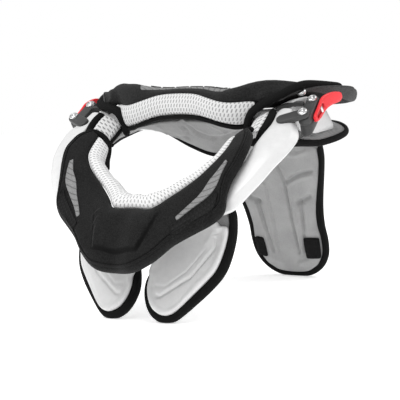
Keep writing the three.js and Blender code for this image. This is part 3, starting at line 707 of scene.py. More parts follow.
GRIP_ACROSS = (
    (0, -1.2), (0, 0.9), (0.03, 1.5), (0.1, 1.5), (0.16, 0.7), (0.35, 0.8), (0.5, 0.8), (0.65, 0.8),
    (0.84, 0.7), (0.9, 1.5), (0.97, 1.5), (1, 0.9), (1, -1.2), (0.5, -1.2),
)


def front_inlays(table):
    """The ribbed inserts and the rubber grips on the front table."""
    tree = surface_of(table)
    inlays = (
        ("front_insert_ribs", "insert", INSERT_ROWS, 0.16, INSERT_ACROSS, INSERT),
        ("front_grip_patch", "grip", GRIP_ROWS, 0.13, GRIP_ACROSS, GRIP),
    )
    for word, side in SIDES:
        for name, slot, rows, step, across, finish in inlays:
            strip = swept(laid_strip(tree, rows, step, across, side))
            piece(f"{name}_{word}", strip, "front_half", slot, finish, f"front_{slot}_{word}")


# Routes of the black edges; the rear one lies lower on the right
FRONT_EDGE_PATH = [
    (91, 143.5, 107), (85, 144.5, 104.5), (76, 142, 100.5), (70, 136.5, 96),
    (67, 129, 92.5), (65, 120, 89.5), (61, 111, 87),
]
REAR_BAND_PATHS = {
    "left": [
        (69.5, 167, 90), (71, 169, 96), (75, 171.5, 102.5), (81.5, 174.5, 107.5),
        (90, 179, 110.2), (98, 184.5, 111.8), (104.5, 193, 111.4), (110, 204.5, 109),
        (115, 216, 104), (121.5, 231, 92.5), (128.5, 246, 79.5),
    ],
    "right": [
        (66.5, 163.5, 90), (65, 165.5, 98.5), (67.5, 168, 106), (73.2, 172.4, 109.4),
        (85, 177.7, 109.6), (98.7, 184.5, 107.4), (108.4, 193, 104.8), (113.5, 204.5, 101.6),
        (117, 216, 97.8), (121.5, 231, 87), (128.5, 246, 74),
    ],
}


def edge_cord(name, path, side, wide, high, body, node):
    """A black binding along a path in the plane of the collar."""
    spots = [along_rows(path, t) for t in stations(path, 0.3)]
    points = [ring(x * side, y, z) for x, y, z in spots]
    cord = swept(tube(points, wide, high, -RING_DOWN))
    piece(name, cord, body, "binding", BINDING, node)


# The arms: inner edge, outer edge, depth
ARM_ROWS = [
    ((102.5, 181, 101.5), (117, 181.5, 99.5), 8),
    ((101.5, 174, 102.2), (120, 172.5, 99), 8),
    ((103, 165, 102.4), (127, 161.5, 98), 8),
    ((104, 155, 103.2), (133.5, 148, 97), 8),
    ((103, 141, 104.2), (133, 134, 96.5), 8),
    ((100, 125, 102.5), (130.5, 122, 97), 8),
    ((97, 110, 99), (125.5, 110, 96), 8),
    ((90, 96, 93), (118, 94, 92.5), 8),
    ((80, 84, 86), (108, 79, 87.5), 8),
    ((68, 78, 81), (97, 69, 81), 13),
    ((54, 75, 78), (74, 65, 75), 16),
    ((28, 66, 77), (42, 54, 72), 7),
    ((2, 62, 75), (4, 46, 69), 5),
]
ARM_RIM = 8


def front_arm(word, side):
    """The white arm: a slightly crowned top, a bright facet along its outer edge."""
    sections = []
    for t in stations(ARM_ROWS, 0.2):
        inner, outer, depth = along_rows(ARM_ROWS, t)
        at = Across(inner, outer)
        wide = at.width
        rim = min(depth, ARM_RIM)
        profile = (
            (0, -0.6), (0.6, 0.2), (0.2 * wide, 1.8), (0.5 * wide, 2.6), (0.72 * wide, 2.2),
            (0.78 * wide, 1.6), (0.82 * wide, 0.7), (wide - 0.8, -2.9), (wide, -3.6), (wide - 0.3, -4.4),
            (wide - 1.8, -rim + 0.8), (wide - 2.6, -rim), (0.5 * wide, -depth + 1), (2.2, -depth),
            (1.2, -depth + 0.8),
        )
        sections.append(at.loop(profile, side))
    piece(f"arm_shell_{word}", swept(sections), "front_half", "shell", SHELL, f"front_arm_{word}")


def lifted(x, y, z, lift, slope):
    """A standing place on a sloping pad, lifted off its face and kept above the floor."""
    spot = standing(x, y - lift * math.cos(slope), z + lift * math.sin(slope))
    spot.z = max(spot.z, FLOOR_GAP * MM)
    return spot


# The chest paddles, drawn flat as x and z and bent to their place
CHEST_OUTLINE = [
    (30, -0.8), (41, 2.5), (57, 16), (72, 31), (81.5, 45), (85.5, 62), (87, 84), (83, 103),
    (62, 100), (38, 86), (18, 66), (7, 46), (3.5, 30), (6, 18), (12, 8), (20, 2),
]
CHEST_MIDDLE = (46, 50)
CHEST_LEAN = 0.385
CHEST_SLOPE = math.atan(CHEST_LEAN)
CHEST_BEND = 55


def chest_place(x, z, lift, side):
    """A place on a paddle, which curls round the chest and bends back at its top."""
    past = max(z - CHEST_BEND, 0)
    y = -3 + CHEST_LEAN * z + 0.001 * x * x - 0.0042 * past * past
    return lifted(x * side, y, z, lift, CHEST_SLOPE)


# The back pad: half of its outline as x and z, from its foot up
BACK_HALF = [
    (0, -0.8), (20, 2), (35, 11), (44, 25), (46.5, 42), (46, 58), (48, 76), (52, 95),
    (57, 115), (61, 134), (61, 149), (30, 157), (0, 158),
]
BACK_MIDDLE = (0, 76)
BACK_OUTLINE = BACK_HALF + [(-x, z) for x, z in reversed(BACK_HALF[1:-1])]
BACK_FOOT = 299
BACK_LEAN = 0.353
BACK_SLOPE = math.atan(BACK_LEAN)
BACK_INSET = 5.5
BACK_BOUND = 11


def back_place(x, z, lift, side=1):
    """A place on the flat back pad."""
    return lifted(x * side, BACK_FOOT - BACK_LEAN * z, z, lift, -BACK_SLOPE)


def drawn_in(outline, middle, inset, share=1.0):
    """An outline moved towards its middle by inset, and then by share."""
    middle = Vector(middle)
    loop = []
    for corner in outline:
        way = Vector(corner[:2]) - middle
        step = inset(corner) if callable(inset) else inset
        reach = max(way.length - step, 1) * share
        loop.append(middle + way.normalized() * reach)
    return loop


def ridge(spot, a, b):
    """Distance in mm of a spot from the line a to b."""
    run = Vector(b) - Vector(a)
    t = min(max((spot - Vector(a)).dot(run) / run.length_squared, 0), 1)
    return (spot - Vector(a) - run * t).length


def relief(spot, lines):
    """Height of sewn or moulded lines at a spot; each has its points, half width and height."""
    height = 0
    for points, half, rise in lines:
        gap = min(ridge(spot, a, b) for a, b in zip(points, points[1:]))
        height += rise * hump(gap, 0, half)
    return height


def mirrored_lines(lines, faint_within=0):
    """Each line and its mirror on the right, which is fainter where it starts near the middle."""
    made = []
    for points, half, rise in lines:
        faint = 0.3 if points[0][0] <= faint_within else 1
        made.append((points, half, rise))
        made.append(([(-x, z) for x, z in points], half, faint * rise))
    return made


PLATE_LINES = [
    (((9.6, 21.6), (24.7, 21.2), (52.6, 38.9), (72.2, 65.1), (70.6, 80.7)), 1.3, -1.5),
    (((16, 30), (28, 29.5), (47, 43), (62, 62)), 1.0, -0.5),
    (((64, 69), (70.6, 80.7), (79, 87)), 3.0, 1.0),
]


def inner_edge(corner):
    """1 along the paddle's edge next to the other paddle, above its foot."""
    return ease(34, 44, corner[1]) * (1 - ease(30, 55, corner[0]))


def plate_inset(inset):
    """How far a plate stays back from the paddle's edge: less inside, more at its top corner."""

    def at(corner):
        top = ease(68, 80, corner[0]) * ease(86, 100, corner[1])
        return inset - 4.6 * inner_edge(corner) + 13 * top

    return at


# From the edge of a plate to its face: inset and lift; round a paddle's pad: inset, share, lift
PLATE_EDGE = ((6.6, 2.4), (6.3, 6.2), (6.7, 7.5), (7.8, 8.4), (9.8, 8.6), (11.6, 7.8), (13.2, 7.3))
PLATE_FACE = 31
PADDLE_PAD = (
    (8.4, 0.1, 4.4), (8.4, 0.6, 4.4), (8.4, 0.97, 4.4), (8.0, 1, 3.6), (7.6, 1, 0), (8.0, 1, -4),
    (9.5, 1, -6.6), (13, 1, -8), (20, 1, -8.8), (20, 0.7, -9.2), (20, 0.35, -9.4), (20, 0.1, -9.4),
)


def chest_paddle(word, side):
    """A bound paddle with a white plate in front and a grey pad behind."""
    outline = smooth_loop(CHEST_OUTLINE, 5)

    def loop_at(inset, share, lift, lines=()):
        loop = drawn_in(outline, CHEST_MIDDLE, inset, share)
        return [chest_place(p.x, p.y, lift + relief(p, lines), side) for p in loop]

    sections = [loop_at(plate_inset(7.2), share, 2) for share in (0.1, 0.5, 0.9)]
    sections += [loop_at(plate_inset(inset), 1, lift) for inset, lift in PLATE_EDGE]
    for k in range(PLATE_FACE - 1):
        sections.append(loop_at(plate_inset(15.5), 1 - k / PLATE_FACE, 7.2, PLATE_LINES))
    piece(f"paddle_plate_{word}", swept(sections), "front_half", "shell", PLATE, f"chest_plate_{word}")
    pad = swept([loop_at(*row) for row in PADDLE_PAD])
    piece(f"paddle_pad_{word}", pad, "front_half", "lining", LINING, f"chest_pad_{word}", pad=0.9)

    def place(x, z, lift, side):
        low = 1 - 0.5 * inner_edge((x, z)) if lift > 0 else 1
        return chest_place(x, z, lift * low, side)

    name, node = f"paddle_binding_{word}", f"chest_binding_{word}"
    bound_edge(name, outline, CHEST_MIDDLE, place, side, "front_half", node)


# Round a folded binding: inset from the edge and lift
FOLD = (
    (7.2, 2.6), (6.6, 4.8), (5.2, 5.4), (3.2, 5.2), (1.2, 4.2), (0.2, 2.2), (0.0, 0), (0.2, -2.2),
    (1.4, -4.3), (3.6, -5.5), (6.2, -5.7), (7.6, -5.0), (8.2, -2.6), (8.0, 0),
)


def bound_edge(name, outline, middle, place, side, body, node, closed=True):
    """A folded binding round the edge of a pad."""
    loops = [drawn_in(outline, middle, inset) for inset, _ in FOLD]
    lifts = [lift for _, lift in FOLD]
    sections = [[place(p.x, p.y, lift, side) for p, lift in zip(spots, lifts)] for spots in zip(*loops)]
    piece(name, swept(sections, closed=closed), body, "binding", BINDING, node)


# Sewn channels and moulded bars of the back pad, with half width and height; then its patches
BACK_CHANNELS = [
    (((5, 132), (11, 112), (11.4, 97.7), (11.2, 64), (12, 29.4)), 1.3, -3.6),
    (((14.2, 104), (14.4, 97.7), (14.2, 64), (15, 31)), 1.2, 1.2),
    (((26.2, 87), (23.6, 58.8), (20.1, 30.8)), 2.0, -3.4),
    (((13.6, 108.7), (24, 114.5), (35.4, 118.7), (46, 120.3)), 1.6, -3.6),
    (((14.6, 104.5), (24.5, 110), (36, 114), (46, 115.5)), 1.4, 1.4),
    (((23.3, 85.8), (38, 93)), 2.4, -3.8),
    (((29.5, 84), (27, 58), (23.6, 50)), 1.2, 1.2),
    (((10.7, 16.8), (24.7, 22.6)), 2.6, 2.6),
    (((14, 140), (30, 137), (44, 141)), 2.0, 1.6),
]
BACK_LINES = mirrored_lines(BACK_CHANNELS, faint_within=14)
PATCHES = (
    ("left", ((20.5, 23.5), (38.5, 24.5), (40.5, 47.5), (21, 47))),
    ("right", ((-38.5, 26), (-27.5, 23.5), (-28.5, 45.5), (-39.5, 47))),
)
PATCH_LEVELS = ((0.2, 4.5), (1, 4.5), (1.02, 7.2), (0.99, 7.8), (0.92, 8), (0.6, 8.1), (0.2, 8.1))


def back_pad():
    """The grey back pad with its channels, its binding and its two patches."""
    edge = drawn_in(BACK_OUTLINE, BACK_MIDDLE, BACK_INSET)[: len(BACK_HALF)]
    low, high = edge[0].y + 0.2, edge[-1].y - 0.2

    def half_width(z):
        a, b = next((a, b) for a, b in zip(edge, edge[1:]) if a.y <= z <= b.y)
        return max(a.x + (b.x - a.x) * (z - a.y) / (b.y - a.y), 3.0)

    bm = bmesh.new()
    bmesh.ops.create_grid(bm, x_segments=66, y_segments=84, size=1)
    backs = set(bm.verts)
    bmesh.ops.extrude_face_region(bm, geom=bm.faces[:])
    for vert in bm.verts:
        across = vert.co.x
        z = low + (high - low) * (vert.co.y + 1) / 2
        spot = Vector((across * half_width(z), z))
        fall = max(abs(across), abs(vert.co.y)) ** 10
        lift = -4.5 if vert in backs else 6.0 - 2.6 * fall + relief(spot, BACK_LINES)
        vert.co = back_place(spot.x, spot.y, lift)
    piece("back_pad_cover", bm, "rear_half", "lining", PAD_GREY, "thoracic_pad", pad=0.9)
    bound = BACK_HALF[:BACK_BOUND]
    path = bound[::-1] + [(-x, z) for x, z in bound[1:]]
    outline = [along_rows(path, t) for t in stations(path, 0.25)]
    name, node = "back_pad_edge", "thoracic_binding"
    bound_edge(name, outline, BACK_MIDDLE, back_place, 1, "rear_half", node, closed=False)
    for word, corners in PATCHES:
        corners = [Vector(c) for c in corners]
        middle = sum(corners, Vector((0, 0))) / len(corners)
        loop = rounded(rounded(corners, 1.6), 0.8)
        sections = []
        for share, lift in PATCH_LEVELS:
            sections.append([back_place(p.x, p.y, lift) for p in drawn_in(loop, middle, 0, share)])
        patch = swept(sections)
        piece(f"back_patch_{word}", patch, "rear_half", "binding", HOOKS, f"thoracic_patch_{word}")


# The rear table: inner edge, outer edge, foot of the cushion, crown, depth, spread of the crown
REAR_ROWS = [
    ((0, 180, 125.5), (0, 262, 54), (0, 166.5, 107.5), 5, 8, 0),
    ((20, 179, 125), (45, 264, 53), (20, 166, 106.5), 5, 8, 0),
    ((35, 174.5, 123.6), (86, 268, 51), (35, 164, 104), 6.5, 8, 0.1),
    ((46, 172, 121.6), (113, 270, 50), (46, 162.5, 101), 11.5, 8, 0.6),
    ((55, 173, 118.8), (131, 268, 54), (54, 162.5, 98.5), 15.5, 9, 1),
    ((63, 176, 116.6), (137.5, 257, 66), (60, 164, 96), 14.5, 10, 1),
    ((69.5, 180, 114.4), (133, 239, 82), (65, 167, 94), 10, 8, 1),
    ((74.5, 182.5, 112.6), (122.5, 218.5, 97.5), (68.5, 170, 93), 6.5, 3.2, 1),
    ((78, 183.5, 111), (110.5, 201.5, 105.5), (71, 172, 93), 5, 2.6, 1),
    ((82, 183, 109.6), (101.5, 188.5, 107.5), (73, 173, 93), 3, 2.6, 1),
]
REAR_ALL = both_sides(REAR_ROWS)
REAR_CUSHION = both_sides(REAR_ROWS[:9])
RIM_FROM = 16


def rear_table():
    """The black table behind the neck; its foam stands higher on the wearer's right."""
    sections = []
    for t in stations(REAR_ALL, 0.17):
        inner, outer, _, crown, depth, spread = along_rows(REAR_ALL, t)
        crown += 7 * hump(inner[0], -40, 13) + 4 * hump(inner[0], -77, 7)
        top = [(*lerp(a, b, spread), 0) for a, b in zip(MIDDLE_TOP, WING_TOP)]
        sections.append(table_loop(Across(inner, outer), crown, depth, top, REAR_RIM * spread, REAR_LIP))
    count = len(sections[0])
    trim = (FOAM_RIM, count, range(RIM_FROM, count - 2))
    pad = swept(sections)
    # The rear table's foam is the lighter copy, painted light on its top.
    return piece(
        "rear_table_pad", pad, "rear_half", "table_foam", FOAM_PAINTED_LIGHT, "rear_table", pad=0.95, trim=trim
    )


def laid_across(tree, first, last, step, inset, wide, across):
    """Sections of a strip that lies along the rear table; across gives share and lift."""
    sections = []
    for t in stations(REAR_ALL, step, first, last):
        at = Across(*along_rows(REAR_ALL, t)[:2])
        loop = []
        for share, lift in across(t):
            spot = at(inset + wide * share, LAID_FROM)
            down = ring(*(spot - at.rise)) - ring(*spot)
            loop.append(laid(tree, ring(*spot), down, lift))
        sections.append(loop)
    return sections


def rear_insert(table):
    """The ribbed strip on the crest of the rear table, with a notched edge behind it."""
    tree = surface_of(table)
    strip = laid_across(tree, 6.7, 11.7, 0.1, 8.5, 8.5, lambda t: INSERT_ACROSS)
    piece("rear_insert_ribs", swept(strip), "rear_half", "insert", INSERT, "rear_insert")

    def notched(t):
        high = 1.8 - 1.5 * (1 - ease(0.03, 0.07, abs((t * 1.6) % 1 - 0.5)))
        return ((0, -1), (0, 0.8 * high), (0.3, high), (0.7, high), (1, 0.8 * high), (1, -1))

    strip = laid_across(tree, 7.3, 11.2, 0.02, 17.2, 2.2, notched)
    piece("rear_insert_notches", swept(strip), "rear_half", "binding", BINDING)


def cushion_guide(t):
    """Direction out of the rear cushion, square to its path."""
    a = Vector(along_rows(REAR_CUSHION, max(t - 0.1, 0))[2])
    b = Vector(along_rows(REAR_CUSHION, min(t + 0.1, len(REAR_CUSHION) - 1))[2])
    guide = Vector((b.y - a.y, a.x - b.x, 0)).normalized()
    return guide if guide.y < 0 else -guide


# Round the hem below the rear cushion: way past its foot and height
REAR_HEM = (
    (-0.4, -8), (-0.6, 1.6), (0, 2.8), (1.0, 3.3), (2.2, 3.0), (3.4, 1.6), (3.7, -1), (3.5, -8),
)


def rear_cushion():
    """The mesh roll under the inner edge of the rear table, and its black hem."""
    sections = []
    hems = []
    for t in stations(REAR_CUSHION, 0.2):
        inner, _, foot, *_ = along_rows(REAR_CUSHION, t)
        at = Across(inner, foot, cushion_guide(t))
        wide = at.width
        profile = (
            (0.5, -0.5), (0.12 * wide, 2.4), (0.28 * wide, 4.4), (0.5 * wide, 5.4), (0.72 * wide, 4.8),
            (0.9 * wide, 3.0), (wide - 0.8, 1.0), (wide - 0.8, -7), (0.5 * wide, -6.5),
        )
        sections.append(at.loop(profile))
        hems.append(at.loop([(wide + past, height) for past, height in REAR_HEM]))
    cushion_roll("rear_cushion_roll", sections, (0, 6, 7, 8), "rear_half", MESH_REAR, "rear_cushion")
    piece("rear_cushion_hem", swept(hems), "rear_half", "binding", BINDING, "rear_cushion_binding")


# The side pads: outer edge, inner edge
SIDE_ROWS = [
    ((101, 147, 104.5), (76, 147, 89)),
    ((102.5, 156, 105.5), (74.5, 156, 89.5)),
    ((102.5, 167, 106), (73, 165, 90.5)),
    ((101, 177, 105.5), (72, 172, 92)),
]
SIDE_SWELL = 1.4
# Across a side pad: share of the way and height; what stands over 1 mm can swell along the pad
SIDE_MESH = (
    (0.22, -2), (0.23, 0.6), (0.28, 1.8), (0.4, 2.6), (0.58, 3), (0.7, 2.6), (0.82, 1.6), (0.9, 0.2),
    (0.92, -2), (0.6, -4),
)
SIDE_EDGE = (
    (0.0, -3), (0.01, 0.6), (0.06, 2.0), (0.13, 2.4), (0.2, 1.8), (0.24, 0), (0.26, -2.6), (0.6, -3.2),
    (0.87, -2.6), (0.9, 0), (0.93, 1.2), (0.98, 1.0), (1.0, -0.5), (0.98, -6), (0.72, -12), (0.3, -12),
)


def side_pad(word, side):
    """The mesh pad beside the neck and the black edge that holds it."""

    def skin(profile, swell):
        sections = []
        for t in stations(SIDE_ROWS, 0.2):
            at = Across(*along_rows(SIDE_ROWS, t))
            rise = swell * math.sin(math.pi * t / (len(SIDE_ROWS) - 1))
            spots = [(share * at.width, h + rise if h > 1 else h) for share, h in profile]
            sections.append(at.loop(spots, side))
        return swept(sections)

    mesh = skin(SIDE_MESH, SIDE_SWELL)
    piece(f"side_mesh_{word}", mesh, "rear_half", "mesh", MESH_WIDE, f"side_pad_{word}", pad=0.8)
    edge = skin(SIDE_EDGE, 0)
    piece(f"side_edge_{word}", edge, "rear_half", "binding", BINDING, f"side_binding_{word}")


# The lining over the shoulders: top at the neck, lower edge, back
LINING_ROWS = [
    ((0, 77, 179.5), (0, 142, 143), (0, 244, 170)),
    ((25, 77, 178), (25, 136, 152), (36, 244, 170)),
    ((47, 76.5, 173), (48, 125, 167), (66, 240, 170)),
    ((60, 82, 171.5), (65, 118, 171), (90, 225, 169)),
    ((68, 88, 170.5), (79, 110, 165.6), (110, 204, 166)),
    ((77, 93, 169), (91, 104, 160.6), (121, 184, 162)),
    ((87, 97, 166), (100, 104, 155), (121, 162, 157.5)),
    ((96, 102, 162), (106, 109, 154.5), (116, 138, 154)),
]
LINING_ALL = both_sides(LINING_ROWS)


def flange_height(x, z):
    """The soft flange hangs a little lower on the left than on the right."""
    return z + 0.05 * max(-x, 0) - 0.01 * max(x, 0)


# Creases of the lining: x and height share of 50, half width, height
LINING_LINES = mirrored_lines([
    (((2, 4), (6, 18), (14, 27), (46, 34)), 1.5, -4),
    (((5, 4), (9, 16), (17, 24), (48, 30)), 1.3, 2.2),
    (((30, 6), (34, 22), (38, 44)), 1.2, 1.6),
])


def shoulder_lining():
    """The grey lining under the rear half, its hem at the neck and its bound edge behind."""
    sections = []
    up = Vector((0, 0, 1))
    for t in stations(LINING_ALL, 0.12):
        top, edge, back = (Vector(p) for p in along_rows(LINING_ALL, t))
        back.z = flange_height(back.x, back.z)
        fall = edge - top
        out = Vector((0, fall.z, -fall.y)).normalized()
        loop = [top]
        for k in range(1, 13):
            share = k / 13
            spot = top.lerp(edge, share)
            bulge = 1.2 * math.sin(math.pi * share) + relief(Vector((spot.x, share * 50)), LINING_LINES)
            loop.append(spot + out * bulge)
        loop += [edge + up * 0.6, edge - up * 0.4]
        loop += [edge.lerp(back, share) + up * rise for share, rise in ((0.2, 5), (0.45, 8), (0.7, 5))]
        loop += [back - up * 1, back + up * 3.5]
        loop += [back.lerp(top, share) + up * 8 for share in (0.4, 0.75)]
        sections.append([standing(*p) for p in loop])
    piece("shoulder_lining", swept(sections), "rear_half", "lining", LINING, "rear_pad", pad=0.9)
    middle = len(LINING_ROWS) - 1
    low = [along_rows(LINING_ALL, t)[1] for t in stations(LINING_ALL, 0.15, middle - 1.9, middle + 1.9)]
    left = [along_rows(LINING_ROWS, t)[1] for t in stations(LINING_ROWS, 0.2, 6.2, 7)]
    back = [along_rows(LINING_ALL, t)[2] for t in stations(LINING_ALL, 0.2)]
    back = [(x, y, flange_height(x, z)) for x, y, z in back]
    right = [(-x, y, z) for x, y, z in left]
    for name, path, wide, high, nodes in (
        ("shoulder_lining_hem", low, 2.2, 3.6, ()),
        ("shoulder_lining_edge", right + back + left[::-1], 2.6, 3.4, ("rear_pad_binding",)),
    ):
        points = [standing(x, y, z + 0.5) for x, y, z in path]
        piece(name, swept(tube(points, wide, high, up)), "rear_half", "binding", BINDING, *nodes)


# The white frame: its four corners at each row, then its tail by y, z, half width and thickness
FRAME_ROWS = [
    ((0, 112, 174), (0, 226, 164), (0, 170, 186), (0, 98, 187)),
    ((30, 111, 174), (36, 225, 164), (42, 170, 186), (27, 97, 187)),
    ((54, 109, 177), (62, 220, 164), (76, 170, 186), (50, 96, 187)),
    ((70, 109, 177), (84, 207, 164), (100, 167, 188), (66, 98, 187)),
    ((84, 110, 176), (104, 192, 164), (112, 156, 190), (80, 101, 188)),
    ((95, 112, 172), (116, 174, 164.5), (118, 140, 193), (92, 99, 191.5)),
    ((103, 113, 167), (119, 153, 163), (121, 121.5, 198.5), (103, 95, 194.5)),
    ((110, 112, 164), (119, 133, 162), (121, 108.5, 199), (112, 96.5, 194.5)),
]
FRAME_ALL = both_sides(FRAME_ROWS)
TAIL_ROWS = [
    (190, 176, 30, 5), (226, 166, 34, 5), (254, 148, 36, 4), (268, 116, 34, 4),
    (281, 80, 30, 4), (294.5, 42, 24, 4), (301, 24, 15, 4),
]
TAIL_SECTION = (
    (1, 0.5), (1, 0), (0.96, -0.5), (0.5, -0.7), (-0.5, -0.7), (-0.96, -0.5), (-1, 0), (-1, 0.5),
    (-0.9, 1), (-0.4, 1.25), (0, 1.35), (0.4, 1.25), (0.9, 1),
)


def rear_frame():
    """The white frame under the rear table and its tail down to the back pad."""
    sections = []
    for t in stations(FRAME_ALL, 0.25):
        corners = [Vector(p) for p in along_rows(FRAME_ALL, t)]
        sections.append([standing(*p) for p in rounded(corners, 3.0)])
    piece("frame_shell", swept(sections), "rear_half", "shell", FRAME_WHITE, "rear_frame")
    sections = []
    for t in stations(TAIL_ROWS, 0.25):
        y, z, half, thick = along_rows(TAIL_ROWS, t)
        ahead = Vector(along_rows(TAIL_ROWS, min(t + 0.1, len(TAIL_ROWS) - 1))[:2])
        behind = Vector(along_rows(TAIL_ROWS, max(t - 0.1, 0))[:2])
        way = (ahead - behind).normalized()
        out = Vector((-way.y, way.x))
        out = out if out.x > 0 else -out
        loop = []
        for across, depth in TAIL_SECTION:
            lift = (depth - 0.5) * thick
            loop.append(standing(across * half, y + out.x * lift, z + out.y * lift))
        sections.append(loop)
    piece("frame_tail", swept(sections), "rear_half", "shell", FRAME_WHITE)


# The clasps, placed in the plane of the collar
FRONT_BOLT = (130, 172)
REAR_BOLT = (127.3, 198.3)
FRAME_BOLT = (113.5, 206)
TAB_END = (113.5, 163)
STRAP_CURVE = ((122, 192), (108, 194), (95, 184))
STRAP_STEPS = 12
STRAP_SECTION = (
    (-1.5, 97), (-1.1, 96.5), (1.1, 96.5), (1.5, 97), (1.5, 101), (1.1, 101.5), (-1.1, 101.5), (-1.5, 101),
)
# Levels of the link and of the tab: height, reach ahead, radius, rise per mm away from the front bolt
LINK_LEVELS = (
    (99.6, 0, 1.2, 0), (99.6, 0, 4.7, 0), (99.3, 0, 5.6, 0), (98.4, 0, 6.1, 0), (96.5, 0, 6.2, 0),
    (93.6, 0, 6.2, 0), (93.2, 0, 5.7, 0), (92.6, 0, 5.7, 0), (92.2, 0, 6.2, 0), (88.5, 0.8, 6.2, 0),
    (84.5, 3.6, 6.0, 0), (83.2, 4.6, 5.2, 0), (83, 4.8, 1.5, 0),
)
TAB_LEVELS = (
    (99.9, 0, 2, 0), (99.9, 0, 5.4, 0), (100.4, 0, 6.1, 0), (103.2, 0, 6.2, 0.05),
    (104.1, 0, 5.8, 0.05), (104.5, 0, 5.0, 0.05), (104.6, 0, 1.2, 0.05),
)


def stadium(a, b, radius, per=9):
    """Outline of a bar with round ends from a to b."""
    a, b = Vector(a), Vector(b)
    turn = math.atan2(b.y - a.y, b.x - a.x)
    loop = []
    for middle, start in ((b, turn - math.pi / 2), (a, turn + math.pi / 2)):
        for k in range(per):
            angle = start + math.pi * k / (per - 1)
            loop.append(middle + Vector((math.cos(angle), math.sin(angle))) * radius)
    return loop


def bar(levels, a, b, side):
    """The mesh of a bar with round ends from a to b, by its levels."""
    sections = []
    for height, ahead, radius, tip in levels:
        loop = []
        for p in stadium(a, b, radius):
            loop.append(ring(p.x * side, p.y - ahead, height + tip * (p - Vector(a)).length))
        sections.append(loop)
    return swept(sections)


def clasp(word, side):
    """A fastened clasp: its link, the tab on the arm, the strap to the frame and three screws."""
    link = bar(LINK_LEVELS, FRONT_BOLT, REAR_BOLT, side)
    piece(f"clasp_body_{word}", link, "rear_half", "clasp", CLASP, f"clasp_link_{word}")
    tab = bar(TAB_LEVELS, FRONT_BOLT, TAB_END, side)
    piece(f"clasp_arm_tab_{word}", tab, "front_half", "clasp", CLASP, f"clasp_tab_{word}")
    sections = []
    for k in range(STRAP_STEPS + 1):
        t = k / STRAP_STEPS
        spot = [(1 - t) ** 2 * a + 2 * t * (1 - t) * b + t * t * c for a, b, c in zip(*STRAP_CURVE)]
        way = Vector([(1 - t) * (b - a) + t * (c - b) for a, b, c in zip(*STRAP_CURVE)]).normalized()
        out = Vector((-way.y, way.x))
        places = [(Vector(spot) + out * away, height) for away, height in STRAP_SECTION]
        sections.append([ring(p.x * side, p.y, height) for p, height in places])
    piece(f"clasp_band_{word}", swept(sections), "rear_half", "clasp", CLASP, f"clasp_strap_{word}")
    for name, spot, seat, body, node in (
        ("front_screw", FRONT_BOLT, 104.4, "front_half", "front_bolt"),
        ("rear_screw", REAR_BOLT, 99.6, "rear_half", "rear_bolt"),
        ("frame_screw", FRAME_BOLT, 101.8, "rear_half", "frame_bolt"),
    ):
        screw(f"{name}_{word}", spot, seat, side, body, f"{node}_{word}")


# A pan head with a socket in it, by radius and height
SCREW = (
    (0.3, -1.2), (4.4, -1.2), (4.75, -0.6), (4.75, 0.9), (4.4, 1.9), (3.6, 2.4), (2.6, 2.55), (2.3, 2.4),
    (2.2, 0.9), (0.3, 0.7),
)


def screw(name, spot, seat, side, body, node):
    """A screw head on its seat, in the plane of the collar."""
    x, y = spot
    turns = [TURN * k / 24 for k in range(24)]
    sections = []
    for radius, height in SCREW:
        rim = [(x + radius * math.cos(a), y + radius * math.sin(a)) for a in turns]
        sections.append([ring(px * side, py, seat + height) for px, py in rim])
    piece(name, swept(sections), body, "screw", STEEL, node)


# The release levers by x, y, half width, lowest and highest, and the window through them
LEVER_ROWS = [
    (137.9, 175, 1.3, 91, 95.2), (137.7, 178, 1.7, 89.4, 96.9), (137.3, 185, 1.7, 87.8, 97.6),
    (136.5, 193, 1.6, 86.8, 98.4), (136, 200, 1.5, 86, 99.4), (136.2, 207, 1.7, 84.6, 97.8),
    (137.2, 215, 1.9, 81.8, 94.6), (138.6, 222.5, 1.9, 78.8, 90.2), (139.5, 228, 1.2, 79.8, 84.5),
]
LEVER_STATIONS = [
    0, 0.4, 0.8, 1.2, 1.6, 2.0, 2.5, 3.0, 3.4, 3.86, 4.2, 4.6, 5.0, 5.5, 6.0, 6.5, 7.0, 7.4, 7.7, 8.0,
]
WINDOW_STATIONS = (1.2, 3.86)
WINDOW_HEIGHTS = (90.8, 95.2)
HEART_SECTION = ((-1, -0.7), (-0.7, -1), (0.7, -1), (1, -0.7), (1, 0.7), (0.7, 1), (-0.7, 1), (-1, 0.7))
HEART_STEPS = ((177.6, 0.6), (178.4, 1), (195.8, 1), (196.6, 0.6))
PIN_HEIGHTS = (91.2, 92.1, 93, 93.9, 94.8)


